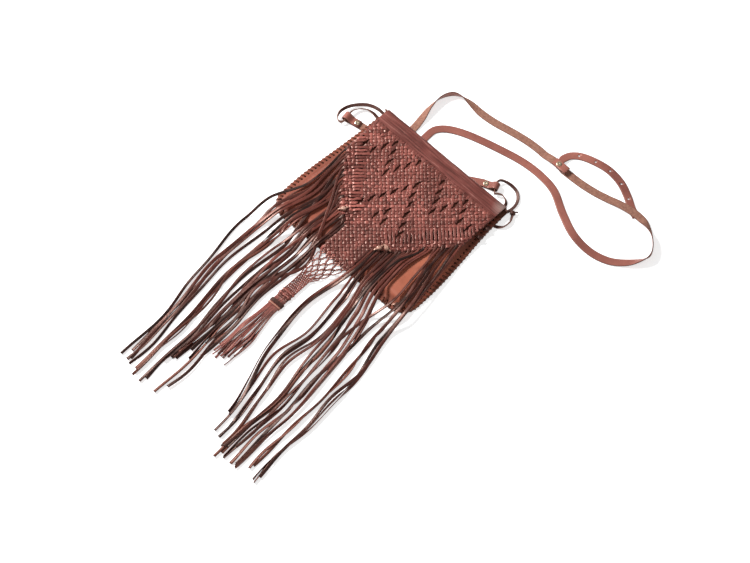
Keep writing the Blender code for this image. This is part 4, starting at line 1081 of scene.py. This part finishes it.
long_route = (
    (-131.8, 71.8, 0.9, 180), (-125, 73.2, 0, 180), (-116, 75, 0, 180), (-103, 79, 0, 180),
    (-88, 89, 0, 180), (-78, 103, 0, 180), (-73, 120, 0, 180), (-75, 140, 0, 165), (-79, 162, 0, 130),
    (-79, 184, 0, 105), (-71, 201, 0, 95), (-57, 208, 0, 115), (-40, 209, 0, 150), (-20, 208.5, 0, 175),
    (5, 211, 0, 180), (35, 217, 0, 180), (62, 221, 0, 180), (84, 222, 0, 180),
)
short_route = (
    (129, 221.5, 0, 180), (146, 222, 0, 180), (164, 223, 0, 180), (186, 226, 0, 180),
    (206, 230.5, 0.3, 180), (226, 235.5, 1.9, 180), (246, 239, 1.9, 180), (264, 239, 1.9, 176),
    (281, 234.5, 0.9, 130), (296, 226.5, 0, 100), (308, 214.5, 0, 90), (313.5, 202, 0, 80),
    (309.5, 189, 0, 50), (296, 172, 0, 12), (275, 157), (246, 150), (211, 154), (176, 169), (143, 187),
    (112, 192.5), (77, 191), (35, 182), (-7, 170), (-34, 157.5), (-48.5, 143), (-50.5, 127), (-48.5, 112),
    (-41, 99.5), (-26, 92.5), (-3, 91.5), (17, 97.5), (35, 110.5), (49, 119.5),
)
tail_route = (
    (256, 237.2), (242, 242.8), (225, 253), (203, 263), (178, 267), (155, 264), (133, 256.5),
    (120.5, 246, 0.4, 0), (116.5, 234, 1.9, 0),
)
tail_holes = ((0.228, 0.2513), (0.204, 0.2626), (0.178, 0.2670), (0.153, 0.2636), (0.129, 0.2544))
strap_leather = belt_leather(
    "strap_leather", (0.41, 0.150, 0.115), (0.20, 0.066, 0.053), (0.085, 0.030, 0.024),
    (0.38, 0.190, 0.135), (0.24, 0.108, 0.078),
)

sections = rolled_end(left_roll, left_heading, left_back, 0.0) + lay_belt(long_route)
across = Vector((0, -1, 0))
adjust_y, fold_x = 0.2215, 0.1345
base = 2 * strap_step + tab_low
for k in range(9):
    x, z = mix(0.090, 0.110, k / 8), mix(strap_thick / 2, base, ease(k / 8))
    sections.append((Vector((x, adjust_y, z)), across, -up))
sections.append((Vector((fold_x, adjust_y, base)), across, -up))
sections += roll_round((fold_x, adjust_y), (1, 0), base, base + strap_step, across, 8)
for x in (fold_x, 0.1115):
    sections.append((Vector((x, adjust_y, base + strap_step)), across, up))
place_piece("long_strap", sweep_belt(sections), strap_leather, "bag", "strap_long")

sections = lay_belt(tail_route)
crease = Vector((1, -1, 0)).normalized()
high, low = strap_step + strap_thick / 2, strap_thick / 2
fold_at = (0.1165, adjust_y)
sections.append((Vector((*fold_at, high)), crease, up))
sections += roll_round(fold_at, heading_of(-1, -1), high, low, crease, 8)
sections.append((Vector((*fold_at, low)), crease, -up))
sections += lay_belt(short_route) + rolled_end(right_roll, right_heading, right_back, 0.0050)
short_strap = place_piece("short_strap", sweep_belt(sections, 0.4), strap_leather, "bag", "strap_short")
punch(short_strap, tail_holes, 0.0015)
short_strap.data.shade_smooth()


# Side loops and tie
# Narrow dark strips are sewn under the pouch's upper corners. They stand on edge and carry
# the strap's rolled ends, and a short one ties round the right corner.

loop_leather = thong_leather(
    "loop_leather", (0.060, 0.026, 0.022), (0.120, 0.050, 0.040), (0.26, 0.115, 0.075), (0.21, 0.098, 0.070),
    0.38,
)
loop_width, loop_thick = 0.0050, 0.0014
left_loop_route = (
    (-104, 105.5), (-115, 108.4), (-124, 110), (-131, 110, 0, -12), (-140, 108, 0, -16),
    (-149, 103, 0.6, -18), (-158, 93, 1.6, -24), (-164.5, 81, 2.6, -36), (-166.5, 68, 3.3, -60),
    (-163, 58, 3.6, -82), (-157, 54.2, 3.6, -88), (-152.6, 56.2, 3.6, -90), (-151.7, 61, 3.6, -90),
    (-153, 67.5, 3.6, -90), (-154.4, 74.5, 3.6, -90), (-153.8, 83, 2.6, -70), (-149, 92, 1.2, -50),
    (-141.5, 98.2, 0.4, -50), (-132, 100, 0, -25), (-124, 99.2), (-115, 98), (-106, 96.5),
)
right_loop_route = (
    (97, 98), (104, 106), (108, 112), (109.5, 118, 0, 8), (108.5, 123.5, 0.3, 40), (103.5, 127.8, 1.2, 62),
    (96, 129, 2.4, 76), (90, 125.6, 3.4, 88), (86.8, 122.6, 3.6, 90), (84.2, 125.8, 3.6, 90),
    (80, 132, 3.6, 90), (76.4, 138.4, 3.6, 90), (78, 145, 3.0, 82), (86, 149, 2.0, 72),
    (97, 150.5, 1.0, 34), (107.5, 148, 0.4, 24), (115.5, 141, 0, 20), (119.5, 132, 0, 18),
    (120, 123, 0, 14), (118.5, 116.5), (115, 109), (109, 100),
)
tie_route = (
    (106, 84), (116, 85), (124.5, 87.5), (130, 91.5, 0, -35), (132.5, 97, 0, -55), (133, 106, 0, -60),
    (129.5, 113.5, 0, -50), (127.4, 117.2, 0.6, -30),
)
for name, route, shade in (
    ("loop_left", left_loop_route, 0.5), ("loop_right", right_loop_route, 0.2), ("loop_tie", tie_route, 0.8),
):
    loop = sweep_belt(lay_belt(route, loop_width, loop_thick), shade, loop_width, loop_thick)
    place_piece(name + "_strip", loop, loop_leather, "bag", name)


# Rivets
# Capped brass rivets hold the strap's folded ends. Each has a domed cap with a small dimple
# where the setting tool pressed it, a post through the leather and a washer below.

def rivet_brass():
    brass = Leather("antique_brass", 0.3)
    brass.colour = brass.ramp(
        brass.speckle(500.0, 4.0), [(0.3, (0.52, 0.36, 0.20)), (0.6, (0.80, 0.68, 0.52))],
    )
    brass.tint(brass.speckle(180.0, 3.0), [(0.5, 0.0), (0.8, 0.5)], (0.30, 0.19, 0.10))
    brass.raise_by(brass.speckle(700.0, 3.0), 0.0001, 0.4)
    brass.shader.inputs["Metallic"].default_value = 0.9
    return brass.done(brass.speckle(400.0, 3.0), [(0.3, 0.22), (0.7, 0.42)])


brass_finish = rivet_brass()


def turn_round(name, profile, x, y, closed, replaced):
    """A piece turned on a lathe: its profile of (radius, height) goes round an upright axis."""
    bm = bmesh.new()
    sides = 40
    rings = []
    for radius, z in profile:
        angles = [2 * math.pi * k / sides for k in range(sides)]
        rings.append([bm.verts.new((x + radius * math.cos(a), y + radius * math.sin(a), z)) for a in angles])
    skin(bm, rings + rings[:1] if closed else rings, True)
    bmesh.ops.remove_doubles(bm, verts=bm.verts, dist=1e-7)
    piece = place_piece(name, bm, brass_finish, "bag", replaced)
    piece.data.set_sharp_from_angle(angle=math.radians(35))


left_rivet = (left_roll[0] - left_heading[0] * left_back, left_roll[1] - left_heading[1] * left_back)
right_rivet = (right_roll[0] - right_heading[0] * right_back, right_roll[1] - right_heading[1] * right_back)
for name, (x, y), foot in (
    ("rivet_left", left_rivet, 0.0), ("rivet_right", right_rivet, 0.0),
    ("rivet_adjuster", (0.1200, adjust_y), 2 * strap_step),
):
    seat = foot + washer_thick + 3 * seam_gap + 2 * strap_thick
    top = seat + 0.0010
    cap = (
        (0.0, top - 0.00055), (0.0006, top - 0.00052), (0.0010, top - 0.00035), (0.0012, top - 0.00005),
        (0.0015, top + 0.00002), (0.0022, top), (0.0029, top - 0.00008), (0.0034, top - 0.00024),
        (0.0038, top - 0.0005), (0.0040, seat + 0.00030), (0.0040, seat + 0.00004), (0.0037, seat),
        (0.0012, seat), (0.0012, foot + 0.00015), (0.0, foot + 0.00015),
    )
    turn_round(name + "_dome", cap, x, y, False, name + "_cap")
    washer = (
        (0.0016, foot), (0.0038, foot), (0.0040, foot + 0.0002),
        (0.0040, foot + 0.0004), (0.0038, foot + washer_thick), (0.0016, foot + washer_thick),
    )
    turn_round(name + "_disc", washer, x, y, True, name + "_washer")
